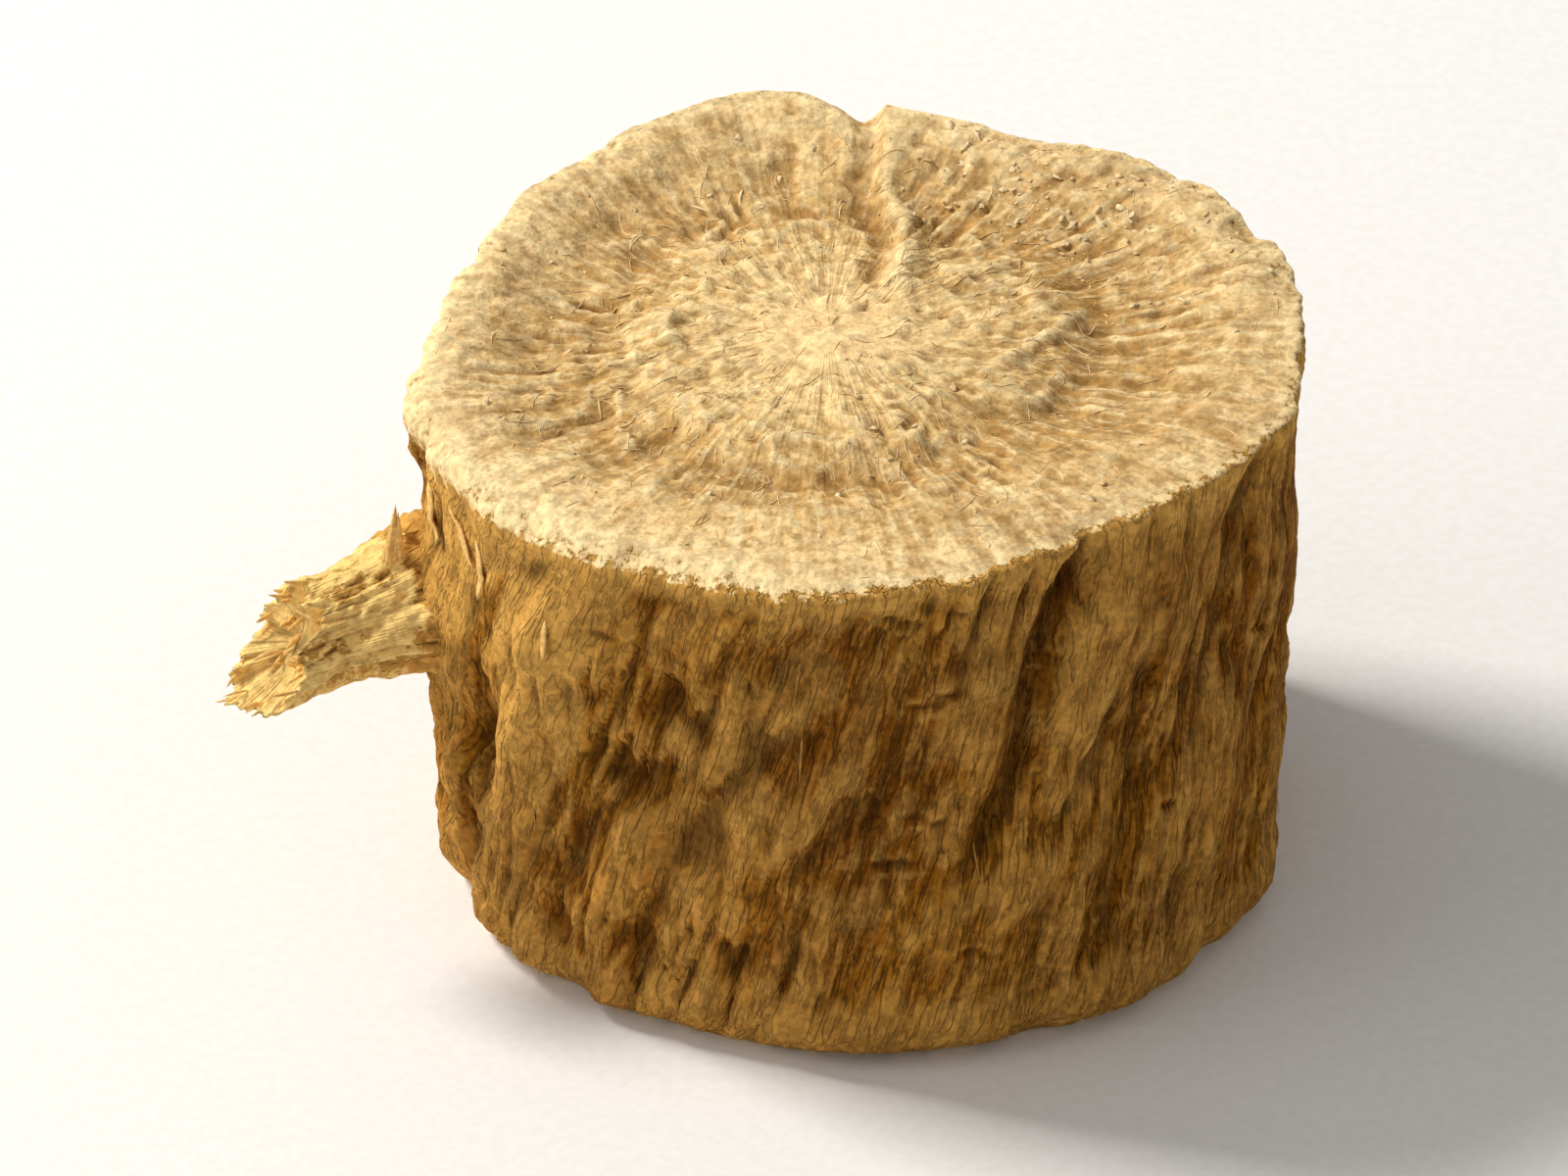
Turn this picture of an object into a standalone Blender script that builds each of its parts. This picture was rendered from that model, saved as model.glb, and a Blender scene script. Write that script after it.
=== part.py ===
"""One chopped piece of dried astragalus root, standing on its lower cut.

The root grew as one piece, so it is one solid: a short, slightly crooked drum with a
knife cut at each end, wrinkled bark between them, and the torn stub of a side rootlet.
The drum starts as a plain turned blank. Then each point of its skin is moved by the
small functions below, one for each thing that growth, drying and the knife have left.

Lengths are in metres. Angles are in degrees round the root's axis, from +X towards +Y,
so 270 is the front. "reach" runs from 0 on the axis to 1 at the bark, and "down" from
0 at the upper cut to 1 at the lower one.
"""

import math
import random

import bmesh
import bpy
from mathutils import Vector, noise

MM = 0.001

# Driving sizes
FACE_WIDTH = 10.0 * MM
HEIGHT = 6.7 * MM
FACE_DEPTH_SHARE = 0.96
FOOT_SHARE = 0.97
FOOT_SHIFT = Vector((0.14 * MM, 0.0, 0.0))
FOOT_ROUND = 0.55 * MM
RIM_ROUND = 0.14 * MM
RADIUS = FACE_WIDTH / 2

# How finely the blank is divided
TURN_STEPS = 120
SIDE_ROWS = 12
ROUND_ROWS = 3
FACE_REACHES = (0.965, 0.93, 0.88, 0.82, 0.75, 0.68, 0.61, 0.55, 0.5, 0.44, 0.36, 0.27, 0.17, 0.08)
FOOT_REACHES = (0.42, 0.72)

# Lobes of the outline: angle, half width in degrees, rise as a share of the radius
LOBES = (
    (30, 20, 0.050),
    (70, 20, -0.070),
    (103, 10, 0.045),
    (156, 25, -0.078),
    (212, 24, 0.040),
    (265, 14, 0.015),
    (307, 15, -0.045),
    (342, 14, 0.040),
)

# What the lobes have changed by at the foot, given in the same way
FOOT_LOBES = (
    (307, 22, 0.080),
    (358, 20, -0.080),
)

# Furrows of the bark, as seen on the front, then on the right and the back:
# angle at the upper cut, drift over the whole height, half width in degrees,
# depth, and where it starts and ends going down. A ridge has a negative depth.
FURROWS = (
    (305, -34, 3.6, 0.38 * MM, -0.05, 0.68),
    (283, 45, 3.0, 0.16 * MM, 0.36, 0.56),
    (299, -5, 3.4, 0.20 * MM, 0.60, 1.10),
    (286, -50, 4.0, -0.18 * MM, 0.28, 0.62),
    (277, -50, 3.6, 0.18 * MM, 0.22, 0.70),
    (266, -24, 4.0, 0.14 * MM, 0.05, 0.40),
    (254, -30, 4.0, 0.18 * MM, 0.12, 0.62),
    (243, -18, 3.6, 0.20 * MM, 0.35, 1.10),
    (231, -22, 4.5, -0.20 * MM, 0.10, 0.80),
    (222, -20, 3.6, 0.26 * MM, 0.30, 1.10),
    (322, -26, 4.6, 0.16 * MM, 0.20, 0.95),
    (336, -22, 4.0, 0.20 * MM, -0.05, 0.50),
    (352, -30, 4.4, 0.18 * MM, 0.35, 1.10),
    (89, -22, 4.2, 0.22 * MM, -0.05, 0.72),
)

# Seeded furrows for the sides that the front view doesn't reach
BACK_SEED = 11
BACK_FURROWS = 12
BACK_FROM = 8
BACK_TO = 208
BACK_DRIFT = (-40, -14)
BACK_HALF_WIDTH = (3.4, 6.0)
BACK_DEPTH = (0.14 * MM, 0.34 * MM)

# Pits and knobs of the bark: angle, down, radius, depth (a knob has a negative depth)
PITS = (
    (244, 0.31, 0.34 * MM, 0.17 * MM),
    (248, 0.62, 0.40 * MM, 0.12 * MM),
    (236, 0.46, 0.34 * MM, 0.16 * MM),
    (212, 0.56, 0.60 * MM, 0.34 * MM),
    (251, 0.40, 0.42 * MM, -0.18 * MM),
    (259, 0.25, 0.38 * MM, -0.14 * MM),
    (228, 0.24, 0.55 * MM, -0.20 * MM),
    (20, 0.62, 0.50 * MM, 0.26 * MM),
    (63, 0.30, 0.55 * MM, -0.26 * MM),
    (128, 0.55, 0.60 * MM, 0.30 * MM),
    (150, 0.26, 0.55 * MM, -0.24 * MM),
)

# Crumbly bites out of the rim: angle, half width in degrees, depth
RIM_BITES = (
    (13, 5, 0.10 * MM),
    (27, 4, 0.18 * MM),
    (43, 5, 0.13 * MM),
    (62, 7, 0.10 * MM),
    (89, 5, 0.14 * MM),
    (128, 6, 0.07 * MM),
    (186, 5, 0.07 * MM),
    (224, 5, 0.06 * MM),
    (302, 5, 0.09 * MM),
)

# The upper cut face
PITH = Vector((-0.05 * RADIUS, 0.055 * RADIUS, 0.0))
SAUCER_DEPTH = 0.32 * MM
WOOD_REACH = 0.53
WOOD_RISE = 0.10 * MM
PITH_RISE = 0.08 * MM
RING_GROOVE = 0.035 * MM
WRINKLES = 22
WRINKLE_DEPTH = 0.04 * MM
ROLL_MIDDLE = 226
ROLL_HALF_WIDTH = 46
ROLL_DEPTH = 0.20 * MM
CRACK_START = Vector((0.02 * RADIUS, 0.95 * RADIUS, 0.0))
CRACK_END = Vector((0.06 * RADIUS, 0.24 * RADIUS, 0.0))
CRACK_HALF_WIDTH = 0.17 * MM
CRACK_DEPTH = 0.20 * MM
CRACK_WAVE = 0.10 * MM
LIP_OFFSET = 0.34 * MM
LIP_RISE = 0.14 * MM

# Drying lumps, all over
LUMP_SIZE = 1.6 * MM
LUMP_HEIGHT = 0.09 * MM
GRAIN_SIZE = 0.55 * MM
GRAIN_HEIGHT = 0.05 * MM

# The torn stub of a side rootlet: an oval stalk, torn off on a slant, longer below
# than above, with one sharp tip on its upper edge and a hollow in its end
STUB_ANGLE = 196
STUB_HEADING = 205
STUB_DOWN = 0.385
STUB_LENGTH = 1.25 * MM
STUB_SLANT = 0.85 * MM
STUB_ROOTED = 1.2 * MM
STUB_HALF_WIDTH = 0.60 * MM
STUB_HALF_HEIGHT = 0.60 * MM
STUB_FLARE = 0.55
STUB_RAGGED = 0.15 * MM
STUB_TIP = 0.22 * MM
STUB_TIP_SLOPE = 78
STUB_TIP_HALF_WIDTH = 13
STUB_HOLLOW = 0.34 * MM
STUB_DROOP = 0.16 * MM
STUB_SIDES = 24
STUB_RINGS = 9
STUB_END_GIRTHS = (0.72, 0.40)

# Folds along the stub: how many go round, how fast they change along it, and height
STUB_FOLDS = ((1.4, 1.1, 0.16), (3.2, 2.2, 0.10))
FOLD_PATTERN = Vector((3.7, 1.3, 5.1))
FIRST_FOLD_PATTERN = 61

ROOT_COLOUR = (0.62, 0.42, 0.19, 1.0)
ROOT_ROUGHNESS = 0.85
SHARP_ABOVE = 60


def clear_scene():
    """Take every object out of the scene."""
    for old in list(bpy.data.objects):
        bpy.data.objects.remove(old)


def hump(distance, half_width):
    """1 at no distance, falling smoothly to almost 0 at two half widths."""
    return math.exp(-((distance / half_width) ** 2))


def ease(value, low, high):
    """0 below low, 1 above high, with a smooth rise between them."""
    share = min(max((value - low) / (high - low), 0.0), 1.0)
    return share * share * (3 - 2 * share)


def turn(angle, other):
    """The signed turn in degrees from one angle to another, the short way round."""
    return (angle - other + 180) % 360 - 180


def outline(angle, down):
    """The bark's distance from the axis, as a share of the radius."""
    upper = sum(rise * hump(turn(angle, at), wide) for at, wide, rise in LOBES)
    change = sum(rise * hump(turn(angle, at), wide) for at, wide, rise in FOOT_LOBES)
    return 1 + upper + change * down


def back_furrows():
    """Seeded furrows, evenly spread with some play, round the sides and the back."""
    chance = random.Random(BACK_SEED)
    pitch = (BACK_TO - BACK_FROM) / BACK_FURROWS
    made = []
    for count in range(BACK_FURROWS):
        angle = BACK_FROM + (count + chance.uniform(0.2, 0.8)) * pitch
        drift = chance.uniform(*BACK_DRIFT)
        half_width = chance.uniform(*BACK_HALF_WIDTH)
        depth = chance.uniform(*BACK_DEPTH)
        start = chance.uniform(-0.1, 0.25)
        end = chance.uniform(0.65, 1.15)
        made.append((angle, drift, half_width, depth, start, end))
    return made


def bark_depth(angle, down, furrows):
    """How far the bark has sunk in at a place, by its furrows and its pits."""
    sunk = 0.0
    for at, drift, half_width, depth, start, end in furrows:
        line = at + drift * down + 2.0 * math.sin(9 * down + at)
        along = ease(down, start, start + 0.16) * (1 - ease(down, end - 0.16, end))
        sunk += depth * along * hump(turn(angle, line), half_width)
    for at, level, radius, depth in PITS:
        across = math.radians(turn(angle, at)) * RADIUS
        along = (down - level) * HEIGHT
        sunk += depth * hump(math.hypot(across, along), radius)
    return sunk


def crack_relief(place):
    """The crack that runs in from the notch at the back, with a raised lip beside it."""
    path = CRACK_END - CRACK_START
    share = min(max((place - CRACK_START).dot(path) / path.length_squared, 0.0), 1.0)
    wave = Vector((CRACK_WAVE * math.sin(11 * share), 0, 0))
    offset = place - (CRACK_START + share * path) - wave
    fade = 1 - 0.75 * share
    groove = hump(offset.length, CRACK_HALF_WIDTH) * CRACK_DEPTH * fade
    lip = hump((offset - Vector((LIP_OFFSET, 0, 0))).length, CRACK_HALF_WIDTH) * LIP_RISE
    return lip - groove


def face_relief(angle, reach, place):
    """Height of the upper cut over its rim: a saucer with the wood standing in it."""
    front = hump(turn(angle, 285), 70)
    shoulder = 0.90 - 0.18 * front
    depth = SAUCER_DEPTH * (1 - 0.45 * front)
    height = -depth * (1 - ease(reach, shoulder - 0.22, shoulder + 0.06))
    wood_edge = WOOD_REACH + 0.03 * math.sin(math.radians(3 * angle + 40))
    height += WOOD_RISE * (1 - ease(reach, wood_edge - 0.14, wood_edge + 0.02))
    height += PITH_RISE * hump(reach, 0.17)
    height -= RING_GROOVE * hump(reach - wood_edge - 0.03, 0.035)
    wrinkle = math.cos(math.radians(WRINKLES * angle) + 2 * math.sin(math.radians(2 * angle)))
    height -= WRINKLE_DEPTH * ease(wrinkle, 0.35, 0.95) * hump(reach - wood_edge - 0.12, 0.12)
    rolled = hump(turn(angle, ROLL_MIDDLE), ROLL_HALF_WIDTH)
    height -= ROLL_DEPTH * rolled * ease(reach, 0.92, 1.0) ** 2
    for at, half_width, bite in RIM_BITES:
        height -= bite * hump(turn(angle, at), half_width) * ease(reach, 0.86, 0.98)
    return height + crack_relief(place)


def half_section():
    """The blank's half section, from the lower cut's middle to the upper one's."""
    section = [Vector((0, 0, 0))]
    section += [Vector((reach * RADIUS, 0, 0)) for reach in FOOT_REACHES]
    for row in range(ROUND_ROWS + 1):
        slope = math.radians(90 * row / ROUND_ROWS)
        across = RADIUS - FOOT_ROUND * (1 - math.sin(slope))
        section.append(Vector((across, 0, FOOT_ROUND * (1 - math.cos(slope)))))
    side_top = HEIGHT - RIM_ROUND
    for row in range(1, SIDE_ROWS + 1):
        share = math.sin(math.radians(90 * row / SIDE_ROWS))
        section.append(Vector((RADIUS, 0, FOOT_ROUND + share * (side_top - FOOT_ROUND))))
    section.append(Vector((RADIUS - 0.3 * RIM_ROUND, 0, HEIGHT - 0.3 * RIM_ROUND)))
    section.append(Vector((RADIUS - RIM_ROUND, 0, HEIGHT)))
    section += [Vector((reach * RADIUS, 0, HEIGHT)) for reach in FACE_REACHES]
    section.append(Vector((0, 0, HEIGHT)))
    return section


def turned_blank():
    """Spin the half section once round the root's axis and close it up."""
    blank = bmesh.new()
    points = [blank.verts.new(place) for place in half_section()]
    edges = [blank.edges.new(pair) for pair in zip(points, points[1:])]
    bmesh.ops.spin(
        blank,
        geom=points + edges,
        cent=(0, 0, 0),
        axis=(0, 0, 1),
        angle=math.radians(360),
        steps=TURN_STEPS,
    )
    bmesh.ops.remove_doubles(blank, verts=blank.verts, dist=0.0001 * MM)
    return blank


def lumps(place):
    """Uneven shrinking: broad lumps with a finer grain on them."""
    broad = noise.noise(place / LUMP_SIZE) * LUMP_HEIGHT
    return broad + noise.noise(place / GRAIN_SIZE) * GRAIN_HEIGHT


def shaped(blank_place, furrows):
    """Where a point of the turned blank lies on the real piece."""
    reach = min(math.hypot(blank_place.x, blank_place.y) / RADIUS, 1.0)
    angle = math.degrees(math.atan2(blank_place.y, blank_place.x)) % 360
    down = 1 - blank_place.z / HEIGHT
    on_bark = ease(reach, 0.80, 1.0)
    taper = 1 - (1 - FOOT_SHARE) * down
    across = reach * RADIUS * outline(angle, down) * taper
    across -= bark_depth(angle, down, furrows) * on_bark
    across += lumps(blank_place) * on_bark
    turned = math.radians(angle)
    place = Vector((math.cos(turned), math.sin(turned) * FACE_DEPTH_SHARE, 0)) * across
    place += PITH * (1 - reach * reach) + FOOT_SHIFT * down
    near_face = 1 - ease(down, 0.0, 0.14)
    relief = face_relief(angle, reach, place)
    relief += noise.noise(blank_place / GRAIN_SIZE) * GRAIN_HEIGHT * (1 - on_bark)
    place.z = blank_place.z + min(relief, 0.0) * near_face
    return place


def bark_material():
    """Dry, matt root: one pale tan for the whole piece."""
    material = bpy.data.materials.new("dried_root")
    material.use_nodes = True
    shader = material.node_tree.nodes["Principled BSDF"]
    shader.inputs["Base Color"].default_value = ROOT_COLOUR
    shader.inputs["Roughness"].default_value = ROOT_ROUGHNESS
    shader.inputs["Metallic"].default_value = 0.0
    return material


def finished_object(name, form):
    """Turn a bmesh into an object of the scene."""
    bmesh.ops.triangulate(form, faces=form.faces)
    bmesh.ops.recalc_face_normals(form, faces=form.faces)
    mesh = bpy.data.meshes.new(name)
    form.to_mesh(mesh)
    form.free()
    made = bpy.data.objects.new(name, mesh)
    bpy.context.collection.objects.link(made)
    return made


def stub_girth(share, slope):
    """How thick the rootlet is at a place: widest at the bark, with long folds."""
    rooted_share = STUB_ROOTED / (STUB_ROOTED + STUB_LENGTH)
    girth = 1.0
    for ring, slide, height in STUB_FOLDS:
        pattern = FOLD_PATTERN * (FIRST_FOLD_PATTERN + int(ring))
        around = Vector((math.cos(slope) * ring, math.sin(slope) * ring, share * slide))
        girth += height * noise.noise(around + pattern)
    return girth * (1 + STUB_FLARE * (1 - ease(share, 0.6 * rooted_share, 0.80)))


def stub_place(share, slope, girth_share):
    """A point of the rootlet's skin, share of the way along it and slope round it."""
    girth = stub_girth(share, slope) * girth_share
    low = 0.5 - 0.5 * math.sin(slope) * girth_share
    slant = STUB_SLANT * low * ease(share, 0.35, 1.0)
    torn = 0.5 * math.sin(3 * slope + 0.9) * STUB_RAGGED
    torn += STUB_TIP * hump(turn(math.degrees(slope), STUB_TIP_SLOPE), STUB_TIP_HALF_WIDTH)
    torn *= ease(share, 0.7, 1.0) * girth_share**2
    sunk = STUB_HOLLOW * (1 - girth_share**2)
    return Vector(
        (
            share * (STUB_ROOTED + STUB_LENGTH) + slant + torn - sunk,
            math.cos(slope) * STUB_HALF_WIDTH * girth,
            math.sin(slope) * STUB_HALF_HEIGHT * girth - STUB_DROOP * share**2 - 0.25 * slant,
        )
    )


def rootlet_stub():
    """The side rootlet, rooted inside the drum, as a guide for the union."""
    form = bmesh.new()
    steps = [(count / STUB_RINGS, 1.0) for count in range(STUB_RINGS + 1)]
    steps += [(1.0, girth_share) for girth_share in STUB_END_GIRTHS]
    rings = []
    for share, girth_share in steps:
        slopes = [math.radians(360 * side / STUB_SIDES) for side in range(STUB_SIDES)]
        rings.append([form.verts.new(stub_place(share, slope, girth_share)) for slope in slopes])
    for inner, outer in zip(rings, rings[1:]):
        for side in range(STUB_SIDES):
            after = (side + 1) % STUB_SIDES
            form.faces.new((inner[side], inner[after], outer[after], outer[side]))
    form.faces.new(rings[0])
    form.faces.new(rings[-1])
    stub = finished_object("rootlet_stub_guide", form)
    turned = math.radians(STUB_ANGLE)
    heading = math.radians(STUB_HEADING)
    bark = Vector((math.cos(turned), math.sin(turned) * FACE_DEPTH_SHARE, 0))
    bark *= RADIUS * outline(STUB_ANGLE, STUB_DOWN)
    rooted = Vector((math.cos(heading), math.sin(heading), 0)) * STUB_ROOTED
    level = Vector((0, 0, HEIGHT * (1 - STUB_DOWN)))
    stub.location = bark - rooted + level
    stub.rotation_euler = (0, 0, heading)
    stub.hide_render = True
    stub.display_type = "WIRE"
    return stub


def root_piece():
    """Shape the blank, then grow the rootlet stub onto it."""
    furrows = list(FURROWS) + back_furrows()
    form = turned_blank()
    for point in form.verts:
        point.co = shaped(point.co, furrows)
    piece = finished_object("root_piece", form)
    piece.data.materials.append(bark_material())
    join = piece.modifiers.new("grow_rootlet_stub", "BOOLEAN")
    join.operation = "UNION"
    join.solver = "EXACT"
    join.object = rootlet_stub()
    piece.data.shade_smooth()
    piece.data.set_sharp_from_angle(angle=math.radians(SHARP_ABOVE))
    return piece


clear_scene()
root_piece()
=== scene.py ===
# %% [markdown]
# # A chopped piece of dried astragalus root
#
# The real thing is a slice of root a centimetre across, cut twice with a knife and dried.
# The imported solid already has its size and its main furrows. This lesson gives it the
# skin that makes it look real: creased bark, a ringed and fibrous cut, a torn rootlet.
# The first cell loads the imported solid, which stays the measure for everything below.

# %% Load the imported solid
import math
import random

import bmesh
import bpy
import numpy as np
from mathutils import Euler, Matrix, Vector, noise


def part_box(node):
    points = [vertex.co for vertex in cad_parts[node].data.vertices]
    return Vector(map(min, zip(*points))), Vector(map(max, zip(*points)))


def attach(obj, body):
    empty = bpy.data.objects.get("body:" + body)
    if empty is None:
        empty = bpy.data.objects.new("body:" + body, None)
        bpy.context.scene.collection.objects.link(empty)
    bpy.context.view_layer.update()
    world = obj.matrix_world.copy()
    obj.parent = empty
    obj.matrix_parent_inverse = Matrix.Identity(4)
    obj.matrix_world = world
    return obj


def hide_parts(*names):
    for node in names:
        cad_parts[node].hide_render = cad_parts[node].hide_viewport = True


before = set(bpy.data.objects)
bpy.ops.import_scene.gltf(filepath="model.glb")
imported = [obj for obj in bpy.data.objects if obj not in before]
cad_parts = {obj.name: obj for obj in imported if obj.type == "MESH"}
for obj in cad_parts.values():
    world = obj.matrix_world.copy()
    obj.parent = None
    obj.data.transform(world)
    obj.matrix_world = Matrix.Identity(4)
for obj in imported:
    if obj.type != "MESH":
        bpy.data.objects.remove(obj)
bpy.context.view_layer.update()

low_corner, high_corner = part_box("root_piece")
print("solid from", [round(value, 5) for value in low_corner],
      "to", [round(value, 5) for value in high_corner])

# %% [markdown]
# ## The camera comes first
#
# The photograph looks down on the pieces at about 36 degrees, from so far away that a
# drum's two ends look the same size. A long lens from far off gives that flat view.
# Blender cuts away what is nearer than the clip start, 10 cm by default, so a camera
# for a thing this small says where its view starts and ends. `placed` puts a camera, or
# later a lamp, on a ball round the piece and turns it to look at the middle.

# %% Camera
MM = 0.001
VIEW_ELEVATION = 36
VIEW_DISTANCE = 0.30
VIEW_TARGET = Vector((-0.75 * MM, 0.0, 3.25 * MM))
VIEW_WIDTH = 17.6 * MM
SENSOR_WIDTH = 36.0

CLIP_START = 0.01
CLIP_END = 5.0


def placed(name, data, azimuth, elevation, distance):
    around, up = math.radians(azimuth), math.radians(elevation)
    level = math.cos(up)
    toward = Vector((math.sin(around) * level, -math.cos(around) * level, math.sin(up)))
    made = bpy.data.objects.new(name, data)
    made.location = VIEW_TARGET + toward * distance
    made.rotation_mode = "QUATERNION"
    made.rotation_quaternion = (-toward).to_track_quat("-Z", "Y")
    bpy.context.collection.objects.link(made)
    return made


lens_data = bpy.data.cameras.new("long_lens")
lens_data.sensor_width = SENSOR_WIDTH
lens_data.lens = SENSOR_WIDTH * VIEW_DISTANCE / VIEW_WIDTH
lens_data.clip_start = CLIP_START
lens_data.clip_end = CLIP_END
bpy.context.scene.camera = placed("camera", lens_data, 0, VIEW_ELEVATION, VIEW_DISTANCE)
print("lens", round(lens_data.lens), "mm")

# %% [markdown]
# ## Small tools for shaping
#
# Almost every form below is a soft dent or a soft step. `hump` is 1 in the middle of
# a dent and falls to nothing beside it. `ease` climbs from 0 to 1 between two values.
# `turn` is the angle between two directions, the short way round. They take whole
# numpy arrays, so one call shapes a hundred thousand points. `noise_at` reads
# Blender's own noise, which gives lumps of a chosen width. Read on a ring, with
# `on_ring`, it closes on itself: a wide ring has many lumps round it, and a small slide
# draws them out along the third axis. `off_line` tells how far along a straight line a
# point lies, and how far off it.

# %% Shaping tools
def hump(distance, half_width):
    return np.exp(-((distance / half_width) ** 2))


def ease(value, low, high):
    share = np.clip((value - low) / (high - low), 0.0, 1.0)
    return share * share * (3 - 2 * share)


def turn(angle, other):
    return (angle - other + 180) % 360 - 180


def noise_at(places, size, pattern=0):
    shift = Vector((3.7, 1.3, 5.1)) * pattern
    return np.array([noise.noise(Vector(place) / size + shift) for place in places])


def stack(*columns):
    return np.column_stack(np.broadcast_arrays(*columns))


def on_ring(angle, along, ring=1.0, slide=1.0):
    around = np.radians(angle)
    return stack(np.cos(around) * ring, np.sin(around) * ring, along * slide)


def off_line(x, y, start, end):
    path = end - start
    off_x, off_y = x - start[0], y - start[1]
    share = np.clip((off_x * path[0] + off_y * path[1]) / path.dot(path), 0.0, 1.0)
    return share, off_x - share * path[0], off_y - share * path[1]


# %% [markdown]
# ## The sizes that the skin shares with the solid
#
# The skin is moved by the same lobes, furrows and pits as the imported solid, so these
# values repeat the ones that it was made from. Angles go round the root from the
# right-hand side, towards the back, so 270 faces the camera. "Down" runs from 0 at
# the upper cut to 1 at the foot, and "reach" from 0 at the pith to 1 at the bark. Three
# values differ a little from the solid's: here the knife edge is crisper, the crack of
# the cut is shallower, and one ridge at the front is a touch higher and longer.

# %% Shared sizes
RADIUS = 5.0 * MM
HEIGHT = 6.7 * MM
FACE_DEPTH_SHARE = 0.96
FOOT_SHARE = 0.97
FOOT_SHIFT = 0.14 * MM
FOOT_ROUND = 0.55 * MM
EDGE_ROUND = 0.07 * MM
PITH = (-0.05 * RADIUS, 0.055 * RADIUS)
FRONT_SIDE = 285

# Angle, half width in degrees, rise as a share of the radius
LOBES = (
    (30, 20, 0.050),
    (70, 20, -0.070),
    (103, 10, 0.045),
    (156, 25, -0.078),
    (212, 24, 0.040),
    (265, 14, 0.015),
    (307, 15, -0.045),
    (342, 14, 0.040),
)
# What the lobes have changed by at the foot, given in the same way
FOOT_LOBES = (
    (307, 22, 0.080),
    (358, 20, -0.080),
)


def outline(angle, down):
    upper = sum(rise * hump(turn(angle, at), wide) for at, wide, rise in LOBES)
    change = sum(rise * hump(turn(angle, at), wide) for at, wide, rise in FOOT_LOBES)
    return 1 + upper + change * down


print("widest lobe", round(float(outline(np.arange(360.0), 0.0).max()), 3), "of the radius")

# %% [markdown]
# ## Furrows of the bark
#
# A root shrinks as it dries, and its bark folds into long creases. On this piece they
# lean, because the root twisted as it grew. Each crease is a soft dent that follows a
# slanting line. Those that the photograph shows are listed one by one, and the sides and
# the back, which it doesn't show, get seeded ones of the same kind.

# %% Furrows and pits
# Angle at the upper cut, drift over the height, half width in degrees, depth, start, end;
# a ridge has a negative depth
FURROWS = (
    (305, -34, 3.6, 0.38 * MM, -0.05, 0.68),
    (283, 45, 3.0, 0.16 * MM, 0.36, 0.56),
    (299, -5, 3.4, 0.20 * MM, 0.60, 1.10),
    (286, -50, 4.0, -0.20 * MM, 0.28, 0.64),
    (277, -50, 3.6, 0.18 * MM, 0.22, 0.70),
    (266, -24, 4.0, 0.14 * MM, 0.05, 0.40),
    (254, -30, 4.0, 0.18 * MM, 0.12, 0.62),
    (243, -18, 3.6, 0.20 * MM, 0.35, 1.10),
    (231, -22, 4.5, -0.20 * MM, 0.10, 0.80),
    (222, -20, 3.6, 0.26 * MM, 0.30, 1.10),
    (322, -26, 4.6, 0.16 * MM, 0.20, 0.95),
    (336, -22, 4.0, 0.20 * MM, -0.05, 0.50),
    (352, -30, 4.4, 0.18 * MM, 0.35, 1.10),
    (89, -22, 4.2, 0.22 * MM, -0.05, 0.72),
)
BACK_SEED = 11
BACK_FURROWS = 12
BACK_FROM = 8
BACK_TO = 208
BACK_DRIFT = (-40, -14)
BACK_HALF_WIDTH = (3.4, 6.0)
BACK_DEPTH = (0.14 * MM, 0.34 * MM)
BACK_START = (-0.10, 0.25)
BACK_END = (0.65, 1.15)

# Angle, down, radius, depth; a knob has a negative depth
PITS = (
    (244, 0.31, 0.34 * MM, 0.17 * MM),
    (248, 0.62, 0.40 * MM, 0.12 * MM),
    (236, 0.46, 0.34 * MM, 0.16 * MM),
    (212, 0.56, 0.60 * MM, 0.34 * MM),
    (251, 0.40, 0.42 * MM, -0.18 * MM),
    (259, 0.25, 0.38 * MM, -0.14 * MM),
    (228, 0.24, 0.55 * MM, -0.20 * MM),
    (20, 0.62, 0.50 * MM, 0.26 * MM),
    (63, 0.30, 0.55 * MM, -0.26 * MM),
    (128, 0.55, 0.60 * MM, 0.30 * MM),
    (150, 0.26, 0.55 * MM, -0.24 * MM),
)


def back_furrows():
    chance = random.Random(BACK_SEED)
    pitch = (BACK_TO - BACK_FROM) / BACK_FURROWS
    made = []
    for count in range(BACK_FURROWS):
        angle = BACK_FROM + (count + chance.uniform(0.2, 0.8)) * pitch
        drift = chance.uniform(*BACK_DRIFT)
        half_width = chance.uniform(*BACK_HALF_WIDTH)
        depth = chance.uniform(*BACK_DEPTH)
        start = chance.uniform(*BACK_START)
        end = chance.uniform(*BACK_END)
        made.append((angle, drift, half_width, depth, start, end))
    return made


ALL_FURROWS = list(FURROWS) + back_furrows()


def off_spot(angle, down, at, level):
    return np.radians(turn(angle, at)) * RADIUS, (down - level) * HEIGHT


def furrow_depth(angle, down):
    sunk = np.zeros_like(angle)
    for at, drift, half_width, depth, start, end in ALL_FURROWS:
        line = at + drift * down + 2.0 * np.sin(9 * down + at)
        along = ease(down, start, start + 0.16) * (1 - ease(down, end - 0.16, end))
        sunk += depth * along * hump(turn(angle, line), half_width)
    for at, level, radius, depth in PITS:
        sunk += depth * hump(np.hypot(*off_spot(angle, down, at, level)), radius)
    return sunk


print(len(ALL_FURROWS), "furrows,", len(PITS), "pits and knobs")

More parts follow.
